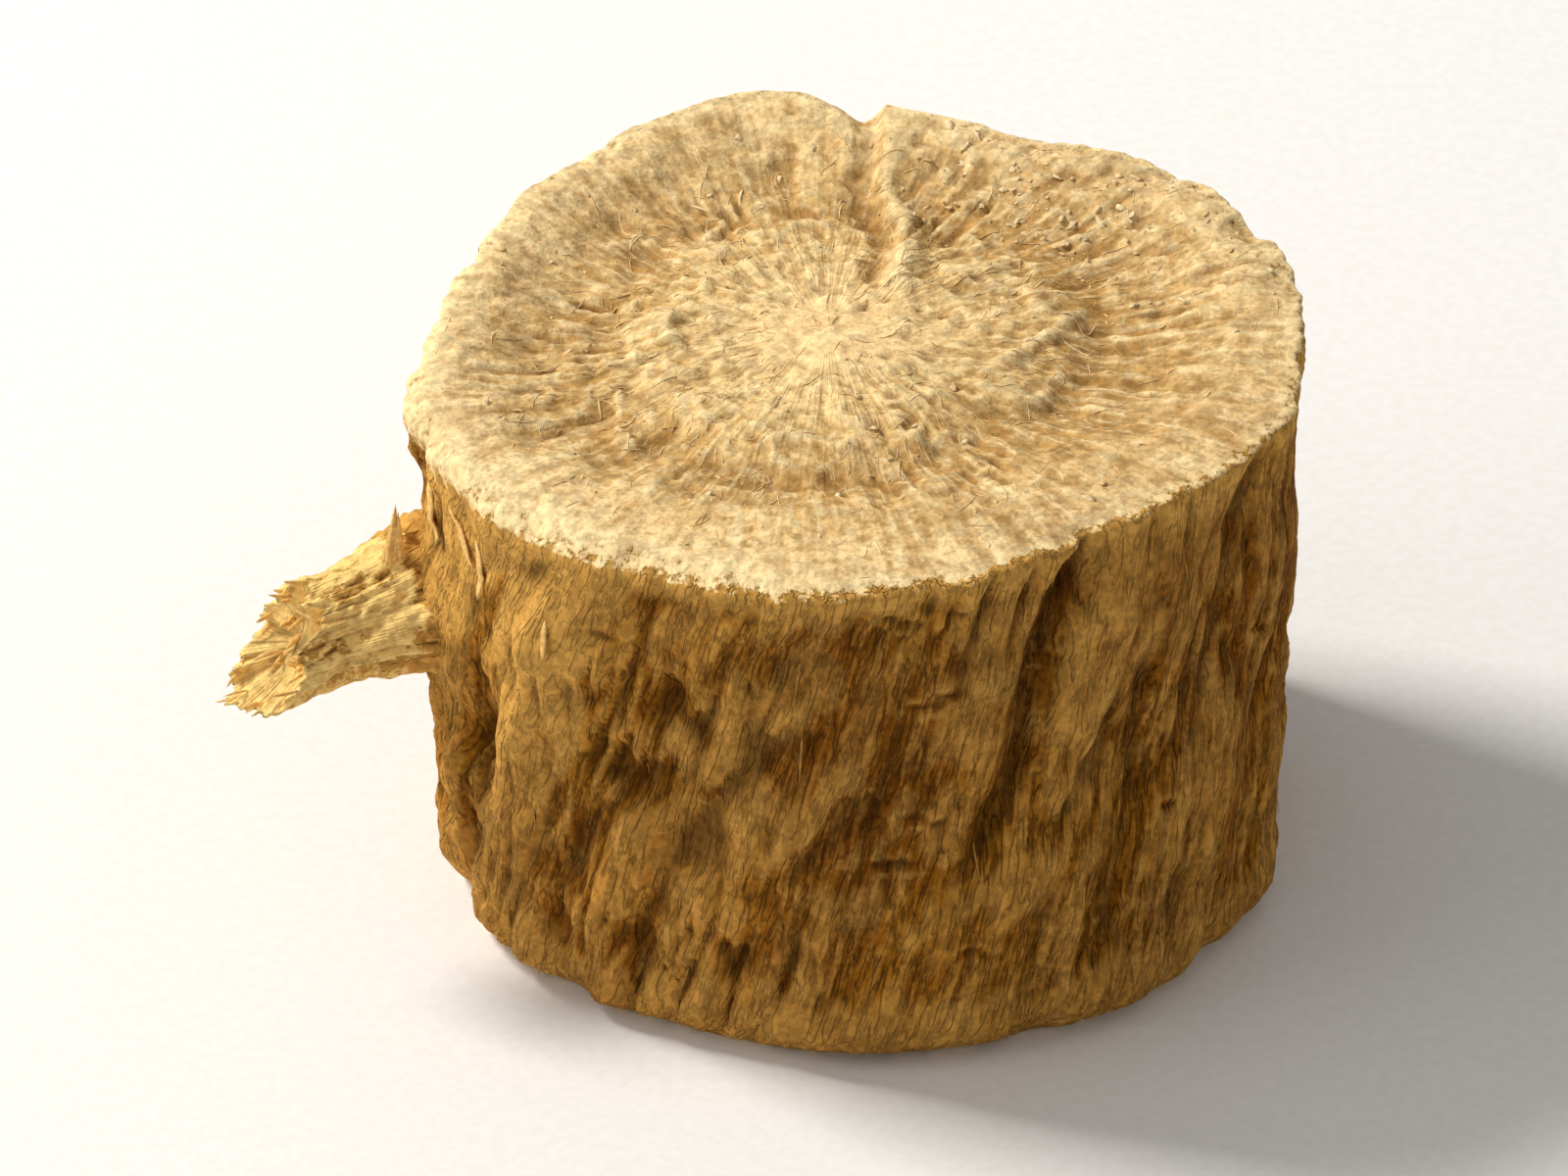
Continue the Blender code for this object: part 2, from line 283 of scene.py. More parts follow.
# %% [markdown]
# ## Fine creases, cork flakes and scars
#
# Between the furrows the bark is covered in hair-thin creases, and in short crosswise
# scars where it breathed. A crease follows the line where a stretched noise passes
# through zero: such lines branch and wander as real creases do. Sampling the noise on
# a leaning, squashed copy of the drum makes them run along the root. Where the thin
# outer cork has rubbed off, its flakes leave a shallow step and a paler patch. Most of
# it is gone over the rootlet. Along the cut the knife has pressed the creases flat, and
# the bark at the left is smooth under the rim and knobbly further down.

# %% Fine bark
LEAN = 20
STRETCH = 0.20
# Size of the noise, half width of its zero line, depth
CREASES = (
    (0.95 * MM, 0.11, 0.110 * MM),
    (0.50 * MM, 0.16, 0.060 * MM),
    (0.29 * MM, 0.22, 0.045 * MM),
    (0.17 * MM, 0.16, 0.028 * MM),
)
LONG_SWELL = 0.065 * MM
ROUND_SWELL = 0.030 * MM
CORK_GRAIN = 0.026 * MM
FLAKE_THICKNESS = 0.030 * MM
KNOBBLY_SIDE = 232
RUBBED_SIDE = 206
PRESSED_DOWN = 0.07
SCARS = 34
SCAR_SEED = 21
SCAR_HALF_LENGTH = (0.12 * MM, 0.40 * MM)
SCAR_HALF_HEIGHT = (0.045 * MM, 0.080 * MM)
SCAR_DEPTH = 0.055 * MM
SCAR_LIP = 0.026 * MM


def rolled_out(angle, down, stretch):
    return on_ring(angle + LEAN * down, down * HEIGHT * stretch, RADIUS)


def scar_depth(angle, down):
    chance = random.Random(SCAR_SEED)
    sunk = np.zeros_like(angle)
    for _ in range(SCARS):
        at = chance.uniform(0, 360)
        level = chance.uniform(0.06, 0.94)
        half_length = chance.uniform(*SCAR_HALF_LENGTH)
        half_height = chance.uniform(*SCAR_HALF_HEIGHT)
        across, along = off_spot(angle, down, at, level)
        slanted = along + across * chance.uniform(-0.5, 0.5)
        span = np.hypot(across / half_length, slanted / half_height)
        sunk += SCAR_DEPTH * hump(span, 0.9) - SCAR_LIP * hump(span - 1.6, 0.6)
    return sunk


def cork_left(angle, down):
    edge = noise_at(rolled_out(angle, down, STRETCH), 1.2 * MM, 7)
    edge += 0.5 * noise_at(rolled_out(angle, down, 0.6), 0.42 * MM, 8)
    worn = -0.22 + 0.16 * hump(turn(angle, KNOBBLY_SIDE), 34)
    worn += 0.34 * hump(turn(angle, RUBBED_SIDE), 24) * (1 - ease(down, 0.15, 0.60))
    return ease(edge - worn, 0.0, 0.09)


def fine_bark_depth(angle, down):
    rolled = rolled_out(angle, down, STRETCH)
    upright = rolled_out(angle, down, 1.0)
    knobbly = hump(turn(angle, KNOBBLY_SIDE), 30) * (1.5 * ease(down, 0.05, 0.45) - 0.5)
    rough = 0.75 + 0.6 * knobbly
    patchy = 0.55 + 0.9 * ease(noise_at(upright, 1.9 * MM, 5), -0.25, 0.45)
    creased = sum(
        depth * hump(noise_at(rolled, size, number + 1), half_width)
        for number, (size, half_width, depth) in enumerate(CREASES))
    swell = noise_at(rolled, 0.50 * MM, 6) * LONG_SWELL
    swell += noise_at(upright, 0.55 * MM, 9) * ROUND_SWELL
    grain = noise_at(rolled_out(angle, down, 0.5), 0.17 * MM, 4) * CORK_GRAIN
    rubbed = FLAKE_THICKNESS * (1 - cork_left(angle, down))
    pressed = 0.55 + 0.45 * ease(down, 0.0, PRESSED_DOWN)
    folded = (creased * patchy + swell + grain) * rough + rubbed
    return folded * pressed + scar_depth(angle, down)


# %% [markdown]
# ## The ringed cut
#
# A cut root shows its life story. In the middle stands the wood, a disc of hard rays
# and open pores round a pale pith. A thin groove, where the root grew, parts it from
# the soft inner bark, which has shrunk lower and split into slits that point at the
# pith. The outermost bark stands up as a pale rim. Each is a step, a ring or a row of
# dents in the height of the face, written as its own function.

# %% Relief of the upper cut
SAUCER_DEPTH = 0.32 * MM
WOOD_REACH = 0.53
WOOD_RISE = 0.10 * MM
PITH_RISE = 0.08 * MM
RING_GROOVE = 0.035 * MM
WRINKLES = 22
WRINKLE_DEPTH = 0.04 * MM
ROLL_MIDDLE = 226
ROLL_HALF_WIDTH = 46
ROLL_DEPTH = 0.20 * MM
CRACK_START = np.array([0.02, 0.95]) * RADIUS
CRACK_END = np.array([0.06, 0.24]) * RADIUS
CRACK_WAVE = 0.10 * MM
CRACK_HALF_WIDTH = 0.17 * MM
CRACK_DEPTH = 0.15 * MM
LIP_OFFSET = 0.34 * MM
LIP_RISE = 0.14 * MM

# Angle, half width in degrees, depth
RIM_BITES = (
    (13, 5, 0.10 * MM),
    (27, 4, 0.18 * MM),
    (43, 5, 0.13 * MM),
    (62, 7, 0.10 * MM),
    (89, 5, 0.14 * MM),
    (128, 6, 0.07 * MM),
    (186, 5, 0.07 * MM),
    (224, 5, 0.06 * MM),
    (302, 5, 0.09 * MM),
)


def wood_edge(angle):
    return WOOD_REACH + 0.03 * np.sin(np.radians(3 * angle + 40))


def crack_relief(x, y):
    share, off_x, off_y = off_line(x, y, CRACK_START, CRACK_END)
    off_x = off_x - CRACK_WAVE * np.sin(11 * share)
    fade = 1 - 0.75 * share
    groove = hump(np.hypot(off_x, off_y), CRACK_HALF_WIDTH) * CRACK_DEPTH * fade
    lip = hump(np.hypot(off_x - LIP_OFFSET, off_y), CRACK_HALF_WIDTH) * LIP_RISE
    return lip - groove


def cut_relief(angle, reach, x, y):
    front = hump(turn(angle, FRONT_SIDE), 70)
    shoulder = 0.90 - 0.18 * front
    inside = 1 - ease(reach, shoulder - 0.22, shoulder + 0.06)
    height = -SAUCER_DEPTH * (1 - 0.45 * front) * inside
    edge = wood_edge(angle)
    height += WOOD_RISE * (1 - ease(reach, edge - 0.14, edge + 0.02))
    height += PITH_RISE * hump(reach, 0.17)
    height -= RING_GROOVE * hump(reach - edge - 0.03, 0.035)
    wrinkle = np.cos(np.radians(WRINKLES * angle) + 2 * np.sin(np.radians(2 * angle)))
    height -= WRINKLE_DEPTH * ease(wrinkle, 0.35, 0.95) * hump(reach - edge - 0.12, 0.12)
    rolled = hump(turn(angle, ROLL_MIDDLE), ROLL_HALF_WIDTH)
    height -= ROLL_DEPTH * rolled * ease(reach, 0.92, 1.0) ** 2
    for at, half_width, bite in RIM_BITES:
        height -= bite * hump(turn(angle, at), half_width) * ease(reach, 0.86, 0.98)
    return height + crack_relief(x, y)


# %% [markdown]
# ## Torn ridges, fibres, slits and pores of the cut
#
# The knife leaves the softer tissue torn. Its fibres run from the pith to the bark, so
# the noise for them is sampled on a ring: the point's direction picks the place round
# the ring, and its reach only slides it a little. A dozen bent ridges that catch the
# light are listed, and a seeded net of smaller ones lies between them. Torn
# tissue breaks off in flakes with sharp edges, so a soft noise would look like dough:
# `flakes` turns one into low steps. Slits and pores are small dents at seeded places.

# %% Fine relief of a cut
RAY_RING = 6.0
FINE_RAY_RING = 15.0
THREAD_RING = 30.0
SLIT_COUNT = 70
SLIT_HALF_WIDTH = (0.030 * MM, 0.060 * MM)
SLIT_DEPTH = 0.060 * MM
PORE_COUNT = 170
# As a share of the root's radius
PORE_RADIUS = (0.007, 0.014)
PORE_DEPTH = 0.035 * MM
BROAD_RAY_RISE = 0.026 * MM
FINE_RAY_RISE = 0.018 * MM
THREAD_RISE = 0.010 * MM
FLAKE_SIZE = 0.36 * MM
FLAKE_RISE = 0.029 * MM
SMALL_FLAKE_SIZE = 0.21 * MM
SMALL_FLAKE_RISE = 0.018 * MM
GRIT_SIZE = 0.12 * MM
GRIT_RISE = 0.018 * MM
NET_SIZE = 0.42 * MM
NET_RISE = 0.032 * MM

# Angle and reach of the start, the bend and the end, half width, rise
TORN_RIDGES = (
    ((156, 0.37), (173, 0.40), (190, 0.34), 0.080 * MM, 0.058 * MM),
    ((345, 0.38), (358, 0.46), (14, 0.56), 0.065 * MM, 0.065 * MM),
    ((124, 0.53), (120, 0.56), (116, 0.57), 0.075 * MM, 0.070 * MM),
    ((101, 0.47), (96, 0.50), (91, 0.49), 0.075 * MM, 0.065 * MM),
    ((193, 0.36), (198, 0.30), (195, 0.24), 0.055 * MM, 0.045 * MM),
    ((189, 0.52), (191, 0.48), (188, 0.45), 0.065 * MM, 0.055 * MM),
    ((292, 0.38), (290, 0.44), (295, 0.50), 0.065 * MM, 0.060 * MM),
    ((232, 0.87), (237, 0.80), (234, 0.67), 0.080 * MM, 0.060 * MM),
    ((328, 0.47), (332, 0.51), (338, 0.50), 0.065 * MM, 0.055 * MM),
    ((202, 0.50), (214, 0.56), (221, 0.60), 0.065 * MM, 0.055 * MM),
    ((20, 0.31), (8, 0.33), (356, 0.30), 0.060 * MM, 0.045 * MM),
    ((236, 0.40), (252, 0.44), (262, 0.41), 0.065 * MM, 0.045 * MM),
)


def torn_ridges(blank):
    x, y = blank[:, 0], blank[:, 1]
    risen = np.zeros(len(blank))
    waver = noise_at(blank, 0.30 * MM, 41) * 0.09 * MM
    uneven = 1.1 + 1.0 * noise_at(blank, 0.24 * MM, 42)
    for *corners, half_width, rise in TORN_RIDGES:
        start, bend, end = [on_ring(at, 0.0, out * RADIUS)[0, :2] for at, out in corners]
        halves = [off_line(x, y, start, bend), off_line(x, y, bend, end)]
        gap = np.minimum(*[np.hypot(off_x, off_y) for _, off_x, off_y in halves])
        risen += rise * uneven * hump(gap + waver, half_width)
    return risen


def slit_depth(angle, reach, seed):
    chance = random.Random(seed)
    sunk = np.zeros_like(angle)
    for _ in range(SLIT_COUNT):
        at = chance.uniform(0, 360)
        middle = chance.gauss(0.66, 0.09)
        half_length = chance.uniform(0.02, 0.07)
        half_width = chance.uniform(*SLIT_HALF_WIDTH)
        skew = chance.uniform(-14, 14)
        sideways = np.radians(turn(angle, at + skew * (reach - middle))) * reach * RADIUS
        sunk += SLIT_DEPTH * hump(sideways, half_width) * hump(reach - middle, half_length)
    return sunk


def pore_depth(angle, reach, seed):
    chance = random.Random(seed)
    sunk = np.zeros_like(angle)
    x = reach * np.cos(np.radians(angle))
    y = reach * np.sin(np.radians(angle))
    for _ in range(PORE_COUNT):
        spoke = math.radians(chance.randrange(0, 360, 9) + chance.uniform(-2.5, 2.5))
        out = math.sqrt(chance.uniform(0.015, 0.30))
        radius = chance.uniform(*PORE_RADIUS)
        gap = np.hypot(x - out * math.cos(spoke), y - out * math.sin(spoke))
        sunk += PORE_DEPTH * hump(gap, radius)
    return sunk


def flakes(blank, size, pattern):
    return ease(noise_at(blank, size, pattern), -0.07, 0.06)


def fine_cut_relief(angle, reach, blank, seed):
    in_wood = 1 - ease(reach, WOOD_REACH - 0.04, WOOD_REACH + 0.10)
    near_middle = ease(reach, 0.05, 0.30)
    calm_band = 1 - 0.45 * ease(reach, 0.72, 0.84)
    bent = angle + 5 * noise_at(blank, 1.1 * MM, seed)
    rays = BROAD_RAY_RISE * noise_at(on_ring(bent, reach, RAY_RING, 3.0), 1.0, seed + 1)
    rays += FINE_RAY_RISE * noise_at(on_ring(bent, reach, FINE_RAY_RING, 6.0), 1.0, seed + 2)
    thread = noise_at(on_ring(bent, reach, THREAD_RING, 9.0), 1.0, seed + 8)
    rays += THREAD_RISE * np.maximum(1 - np.abs(thread) / 0.22, 0)
    net = hump(noise_at(blank, NET_SIZE, seed + 6), 0.10)
    net *= np.maximum(0.5 + noise_at(blank, 0.7 * MM, seed + 7), 0.0)
    crumbly = 0.60 + 0.55 * in_wood - 0.45 * hump(reach, 0.20)
    crumbly += 0.8 * hump(turn(angle, 40), 34) * ease(reach, 0.55, 0.8)
    torn = FLAKE_RISE * flakes(blank, FLAKE_SIZE, seed + 5)
    torn += SMALL_FLAKE_RISE * flakes(blank, SMALL_FLAKE_SIZE, seed + 3)
    torn += GRIT_RISE * noise_at(blank, GRIT_SIZE, seed + 4)
    height = (rays * near_middle + NET_RISE * net) * calm_band + torn * crumbly
    return height - slit_depth(angle, reach, seed + 50) - pore_depth(angle, reach, seed + 60)


# %% [markdown]
# ## From a turned blank to the real piece
#
# The skin starts as a plain turned drum, and `shape_skin` carries each of its points to
# its real place. Bark forms push it sideways, and the forms of the cut push it up and
# down. A low collar of bark rises towards the rootlet, so that the two meet softly. On
# the cuts the fine layer only ever goes down from the solid's own level, and on the bark
# it stands at most a twentieth of a millimetre proud of it.

# %% Shape of the skin
LUMP_SIZE = 1.6 * MM
LUMP_HEIGHT = 0.09 * MM
GRAIN_SIZE = 0.55 * MM
GRAIN_HEIGHT = 0.05 * MM
COLLAR_ANGLE = 197
COLLAR_DOWN = 0.38
COLLAR_RADIUS = 1.0 * MM
COLLAR_RISE = 0.20 * MM
CUT_BLEND = 0.14
FOOT_BLEND = 0.02
FOOT_HOLLOW = 0.09 * MM
FOOT_RELIEF = 0.55
MOST_PROUD = 0.05 * MM
UPPER_SEED = 10
FOOT_SEED = 30


def only_where(chosen, work, *columns):
    result = np.zeros(len(chosen))
    result[chosen] = work(*(column[chosen] for column in columns))
    return result


def upper_fine(angle, reach, blank):
    relief = fine_cut_relief(angle, reach, blank, UPPER_SEED) + torn_ridges(blank)
    return relief * (1 - 0.6 * ease(reach, 0.9, 1.0))


def foot_fine(angle, reach, blank):
    return fine_cut_relief(angle, reach, blank, FOOT_SEED)


def shape_skin(angle, reach, level):
    around = np.radians(angle)
    blank = on_ring(angle, level, reach * RADIUS)
    down = 1 - level / HEIGHT
    on_bark = ease(reach, 0.80, 1.0)
    grain = noise_at(blank, GRAIN_SIZE) * GRAIN_HEIGHT
    across = reach * RADIUS * outline(angle, down) * (1 - (1 - FOOT_SHARE) * down)
    across -= furrow_depth(angle, down) * on_bark
    across += (noise_at(blank, LUMP_SIZE) * LUMP_HEIGHT + grain) * on_bark
    off_collar = np.hypot(*off_spot(angle, down, COLLAR_ANGLE, COLLAR_DOWN))
    across += COLLAR_RISE * hump(off_collar, COLLAR_RADIUS) * on_bark
    fine_bark = only_where(reach > 0.93, fine_bark_depth, angle, down)
    across -= np.maximum(fine_bark, -MOST_PROUD) * ease(reach, 0.93, 1.0)
    x = np.cos(around) * across + PITH[0] * (1 - reach**2) + FOOT_SHIFT * down
    y = np.sin(around) * FACE_DEPTH_SHARE * across + PITH[1] * (1 - reach**2)
    relief = cut_relief(angle, reach, x, y) + grain * (1 - on_bark)
    relief += only_where(down < CUT_BLEND, upper_fine, angle, reach, blank)
    foot = FOOT_HOLLOW * (1 - ease(reach, 0.60, 0.92))
    foot += RING_GROOVE * hump(reach - wood_edge(angle) - 0.03, 0.030)
    foot -= only_where(down > 1 - FOOT_BLEND, foot_fine, angle, reach, blank) * FOOT_RELIEF
    upper = 1 - ease(down, 0.0, CUT_BLEND)
    lower = ease(down, 1 - FOOT_BLEND, 1.0)
    z = level + np.minimum(relief, 0.0) * upper + np.maximum(foot, 0.0) * lower
    return stack(x, y, z)


# %% [markdown]
# ## Rings of points that thin out towards the pith
#
# A disc made of equal rings wastes its points in the middle, where hundreds of them
# would crowd into a dot. So the points in a ring halve on the way in, and where a ring
# meets one with half its points, three triangles take the place of each quad. The whole
# skin is one chain of rings: from the upper pith, over the rim, down the bark, to the
# foot. `spread` writes a chain out as its points, with a single one at each end.

# %% Rings
FINEST = 832
UPPER_STEP = 0.0116
FOOT_STEP = 0.030
SIDE_ROWS = 60
RIM_ROWS = 4
HEEL_ROWS = 7
COUNT_SHARES = ((0.88, 1), (0.44, 2), (0.22, 4), (0.11, 8), (0.0, 16))


def points_in_ring(reach):
    return next(FINEST // halving for least, halving in COUNT_SHARES if reach >= least)


def cut_rings(step, widest, level):
    reaches = np.arange(step, widest, step)
    return [(points_in_ring(reach), reach, level) for reach in reaches]


def round_rings(radius, rows, low_level, rising):
    rings = []
    for row in range(rows + 1):
        slope = math.radians(90 * row / rows)
        out = 1 - radius / RADIUS * (1 - math.sin(slope))
        up = low_level + rising * radius * (1 - math.cos(slope))
        rings.append((FINEST, out, up))
    return rings


def skin_rings():
    upper = cut_rings(UPPER_STEP, 1 - EDGE_ROUND / RADIUS, HEIGHT)
    rim = round_rings(EDGE_ROUND, RIM_ROWS, HEIGHT, -1)
    levels = np.linspace(HEIGHT - EDGE_ROUND, FOOT_ROUND, SIDE_ROWS + 1)[1:-1]
    side = [(FINEST, 1.0, level) for level in levels]
    heel = round_rings(FOOT_ROUND, HEEL_ROWS, 0.0, 1)[::-1]
    lower = cut_rings(FOOT_STEP, 1 - FOOT_ROUND / RADIUS - 0.01, 0.0)[::-1]
    return upper + rim + side + heel + lower


def spread(rings, first, last):
    rows = [(0.0, *first)]
    for count, *values in rings:
        rows += [(turned, *values) for turned in np.arange(count) * 360.0 / count]
    return np.array([*rows, (0.0, *last)]).T


rings = skin_rings()
angle, reach, level = spread(rings, (0.0, HEIGHT), (0.0, 0.0))
print(len(rings), "rings,", len(angle), "points")

# %% [markdown]
# ## Stitching the rings into one closed mesh
#
# `stitch` joins two neighbouring rings with quads, or with three triangles a step
# where one ring has twice the points of the other. A single point closes each end. The
# order of the corners is the same all along, so every face looks outwards. A tube that
# is built from its root to its tip runs the other way round, so it is flipped.

# %% Mesh helpers
def stitch(first, first_count, second, second_count):
    faces = []
    steps = min(first_count, second_count)
    for step in range(steps):
        after = (step + 1) % steps
        if first_count == second_count:
            faces.append((first + step, second + step, second + after, first + after))
            continue
        outer, inner = (second, first) if second_count > first_count else (first, second)
        near, near_next = inner + step, inner + after
        far, far_next = outer + 2 * step, outer + 2 * after
        middle = far + 1
        fan = [(near, far, middle), (near, middle, near_next), (near_next, middle, far_next)]
        faces += fan if second_count > first_count else [face[::-1] for face in fan]
    return faces


def ring_faces(rings, flipped=False):
    faces = []
    counts = [ring[0] for ring in rings]
    starts = np.concatenate(([1], 1 + np.cumsum(counts)))
    first, last, end = counts[0], counts[-1], int(starts[-1])
    faces += [(0, 1 + step, 1 + (step + 1) % first) for step in range(first)]
    for ring in range(len(counts) - 1):
        faces += stitch(int(starts[ring]), counts[ring], int(starts[ring + 1]), counts[ring + 1])
    tail = end - last
    faces += [(end, tail + (step + 1) % last, tail + step) for step in range(last)]
    return [face[::-1] for face in faces] if flipped else faces


def triangles(mesh):
    return sum(len(face.vertices) - 2 for face in mesh.polygons)


def mesh_object(name, places, faces):
    mesh = bpy.data.meshes.new(name)
    mesh.from_pydata(places.tolist(), [], faces)
    mesh.update()
    mesh.shade_smooth()
    made = bpy.data.objects.new(name, mesh)
    bpy.context.collection.objects.link(made)
    print(name, "has", triangles(mesh), "triangles")
    return made


# %% Skin of the drum
skin = mesh_object("root_skin", shape_skin(angle, reach, level), ring_faces(rings))

# %% [markdown]
# ## Telling the material what each point is
#
# A material can't see that a point lies on the cut or in a crease, so the mesh tells
# it, with named attributes. `cut` is 1 on the knife cuts and 0 on the bark. `ray`
# holds the direction from the pith and the reach, for streaks that run outwards. `grain`
# is a place in millimetres whose last number runs along the fibres, `down` is the way
# to the foot, and `cork` falls to 0 where the cork has rubbed off. `crease` and `furrow` are
# measured from the finished mesh: a point below the average of its neighbours lies in
# a hollow, where the material paints shade. A few rounds of averaging find thin
# creases, and many find broad furrows. On the left the knife has rolled the rim over,
# and there the cut's pale colour is painted a little down the side, partly as the rolled
# cut and partly as a painted highlight along the left rim. At the front the thin
# outer cork shows from above as a brown line round the cut.

# %% Attributes
CREASE_ROUNDS = 8
CREASE_DEPTH = 0.030 * MM
FURROW_ROUNDS = 90
FURROW_DEPTH = 0.080 * MM
PALE_SIDE = 0.10 * MM
# How far the cut's pale colour reaches down the left side: the rolled rim, and a painted highlight
# along it
ROLLED_PALE_HIGHLIGHT = 0.85 * MM
ROLLED_PALE_HIGHLIGHT_AT = 192
ROLLED_PALE_HIGHLIGHT_HALF_WIDTH = 20


def smoothed(values, ends, rounds):
    counted = np.bincount(ends.ravel(), minlength=len(values)).astype(float)
    for _ in range(rounds):
        total = np.zeros_like(values)
        for axis in range(values.shape[1]):
            total[:, axis] = np.bincount(ends[:, 0], values[ends[:, 1], axis], len(values))
            total[:, axis] += np.bincount(ends[:, 1], values[ends[:, 0], axis], len(values))
        values = 0.5 * values + 0.5 * total / counted[:, None]
    return values


def hollows(mesh, rounds, deepest):
    places = np.empty(len(mesh.vertices) * 3)
    normals = np.empty(len(mesh.vertices) * 3)
    ends = np.empty(len(mesh.edges) * 2, dtype=np.int32)
    mesh.vertices.foreach_get("co", places)
    mesh.vertices.foreach_get("normal", normals)
    mesh.edges.foreach_get("vertices", ends)
    places = places.reshape(-1, 3)
    around = smoothed(places, ends.reshape(-1, 2), rounds)
    sunk = np.einsum("ij,ij->i", around - places, normals.reshape(-1, 3))
    return np.clip(0.5 + 0.5 * sunk / deepest, 0.0, 1.0)


def mark_points(mesh, **marks):
    # crease and furrow feed the painted shade in hollows and painted highlight on ridges
    marks["crease"] = hollows(mesh, CREASE_ROUNDS, CREASE_DEPTH)
    marks["furrow"] = hollows(mesh, FURROW_ROUNDS, FURROW_DEPTH)
    for name, values in marks.items():
        vector = values.ndim == 2
        made = mesh.attributes.new(name, "FLOAT_VECTOR" if vector else "FLOAT", "POINT")
        made.data.foreach_set("vector" if vector else "value", values.astype(np.float32).ravel())


down = 1 - level / HEIGHT
# The pale cut colour reaches further down on the left: partly the rolled rim, partly a painted
# highlight
pale_side_and_highlight = PALE_SIDE + ROLLED_PALE_HIGHLIGHT * hump(turn(angle, ROLLED_PALE_HIGHLIGHT_AT), ROLLED_PALE_HIGHLIGHT_HALF_WIDTH)
cork_line = 0.60 * ease(reach, 0.962, 0.988) * hump(turn(angle, FRONT_SIDE), 50)
on_upper = ease(level, HEIGHT - pale_side_and_highlight, HEIGHT) * (1 - cork_line)
on_lower = 1 - ease(level, 0.0, FOOT_ROUND * 0.25)
bared = 0.5 + 0.9 * hump(turn(angle, RUBBED_SIDE + 8), 30) * (1 - ease(down, 0.25, 0.70))
mark_points(
    skin.data,
    cut=np.maximum(on_upper, on_lower),
    ray=on_ring(angle, reach),
    grain=rolled_out(angle, down, 1.0) * stack(reach, reach, 1.0) / MM,
    down=down,
    cork=1 - bared * (1 - only_where(reach > 0.93, cork_left, angle, down)),
)
named = [item.name for item in skin.data.attributes if not item.name.startswith(".")]
print("attributes:", named)

# %% [markdown]
# ## The torn rootlet
#
# High on the left a side rootlet was ripped off and left a short stalk. It is a tube
# of rings like the drum, but it was torn off on a slant, longer below than above, its
# edge is ragged, and its end is hollow. Round the tube runs a ring of noise that makes
# long folds. It starts well inside the drum, so no gap can show where it grows out. The
# tearing took most of its bark, so its `cut` lies between 0 and 1 all over, and pale
# wood shows between the shreds.

# %% Rootlet stub
STUB_ANGLE = 196
STUB_HEADING = math.radians(205)
STUB_DOWN = 0.385
STUB_LENGTH = 1.25 * MM
STUB_SLANT = 0.85 * MM
STUB_ROOTED = 1.2 * MM
STUB_HALF_WIDTH = 0.60 * MM
STUB_HALF_HEIGHT = 0.60 * MM
STUB_FLARE = 0.55
STUB_RAGGED = 0.15 * MM
STUB_TIP = 0.22 * MM
STUB_HOLLOW = 0.34 * MM
STUB_PITTED = 0.05 * MM
STUB_DROOP = 0.16 * MM
STUB_SIDES = 144
STUB_RINGS = 84
STUB_END_RINGS = 16
# Ring and slide of a noise, its height and pattern: long folds first, then knots, fuzz
STUB_FOLDS = (
    (1.4, 1.1, 0.16, 62),
    (3.2, 2.2, 0.10, 64),
    (7.5, 3.4, 0.06, 68),
    (5.0, 14.0, 0.06, 71),
    (12.0, 24.0, 0.05, 72),
)
STUB_CREASE = 0.10


def stub_start():
    turned = math.radians(STUB_ANGLE)
    out = RADIUS * outline(STUB_ANGLE, STUB_DOWN)
    x = math.cos(turned) * out - STUB_ROOTED * math.cos(STUB_HEADING)
    y = math.sin(turned) * out * FACE_DEPTH_SHARE - STUB_ROOTED * math.sin(STUB_HEADING)
    return x, y, HEIGHT * (1 - STUB_DOWN)


def out_of_stub(along, sideways, upwards):
    x, y, z = stub_start()
    ahead, aside = math.cos(STUB_HEADING), math.sin(STUB_HEADING)
    x = x + ahead * along - aside * sideways
    y = y + aside * along + ahead * sideways
    return stack(x, y, z + upwards)


def stub_girth(share, slope):
    folds = sum(
        height * noise_at(on_ring(slope, share, ring, slide), 1.0, pattern)
        for ring, slide, height, pattern in STUB_FOLDS)
    creases = hump(noise_at(on_ring(slope, share, 4.0, 2.2), 1.0, 70), 0.12)
    return 1 + folds - STUB_CREASE * creases


def stub_skin(share, slope, girth_share):
    rooted_share = STUB_ROOTED / (STUB_ROOTED + STUB_LENGTH)
    around = np.radians(slope)
    flare = 1 + STUB_FLARE * (1 - ease(share, 0.6 * rooted_share, 0.80))
    girth = flare * stub_girth(share, slope)
    low = 0.5 - 0.5 * np.sin(around) * girth_share
    slant = STUB_SLANT * low * ease(share, 0.35, 1.0)
    tongues = 0.5 * np.sin(3 * around + 0.9)
    tongues += 1.3 * noise_at(on_ring(slope, 0.0, 3.5), 1.0, 64)
    tongues += 0.6 * noise_at(on_ring(slope, 0.0, 11.0), 1.0, 66)
    torn = tongues * STUB_RAGGED + STUB_TIP * hump(turn(slope, 78), 13)
    torn = torn * ease(share, 0.7, 1.0) * girth_share**2
    pitted = noise_at(on_ring(slope, 0.0, girth_share), 0.3, 65)
    sunk = (STUB_HOLLOW * (1 - girth_share**2) + STUB_PITTED * pitted) * (girth_share < 1)
    along = share * (STUB_ROOTED + STUB_LENGTH) + slant + torn - sunk
    sideways = np.cos(around) * STUB_HALF_WIDTH * girth * girth_share
    upwards = np.sin(around) * STUB_HALF_HEIGHT * girth * girth_share - STUB_DROOP * share**2
    return out_of_stub(along, sideways, upwards - 0.25 * slant)


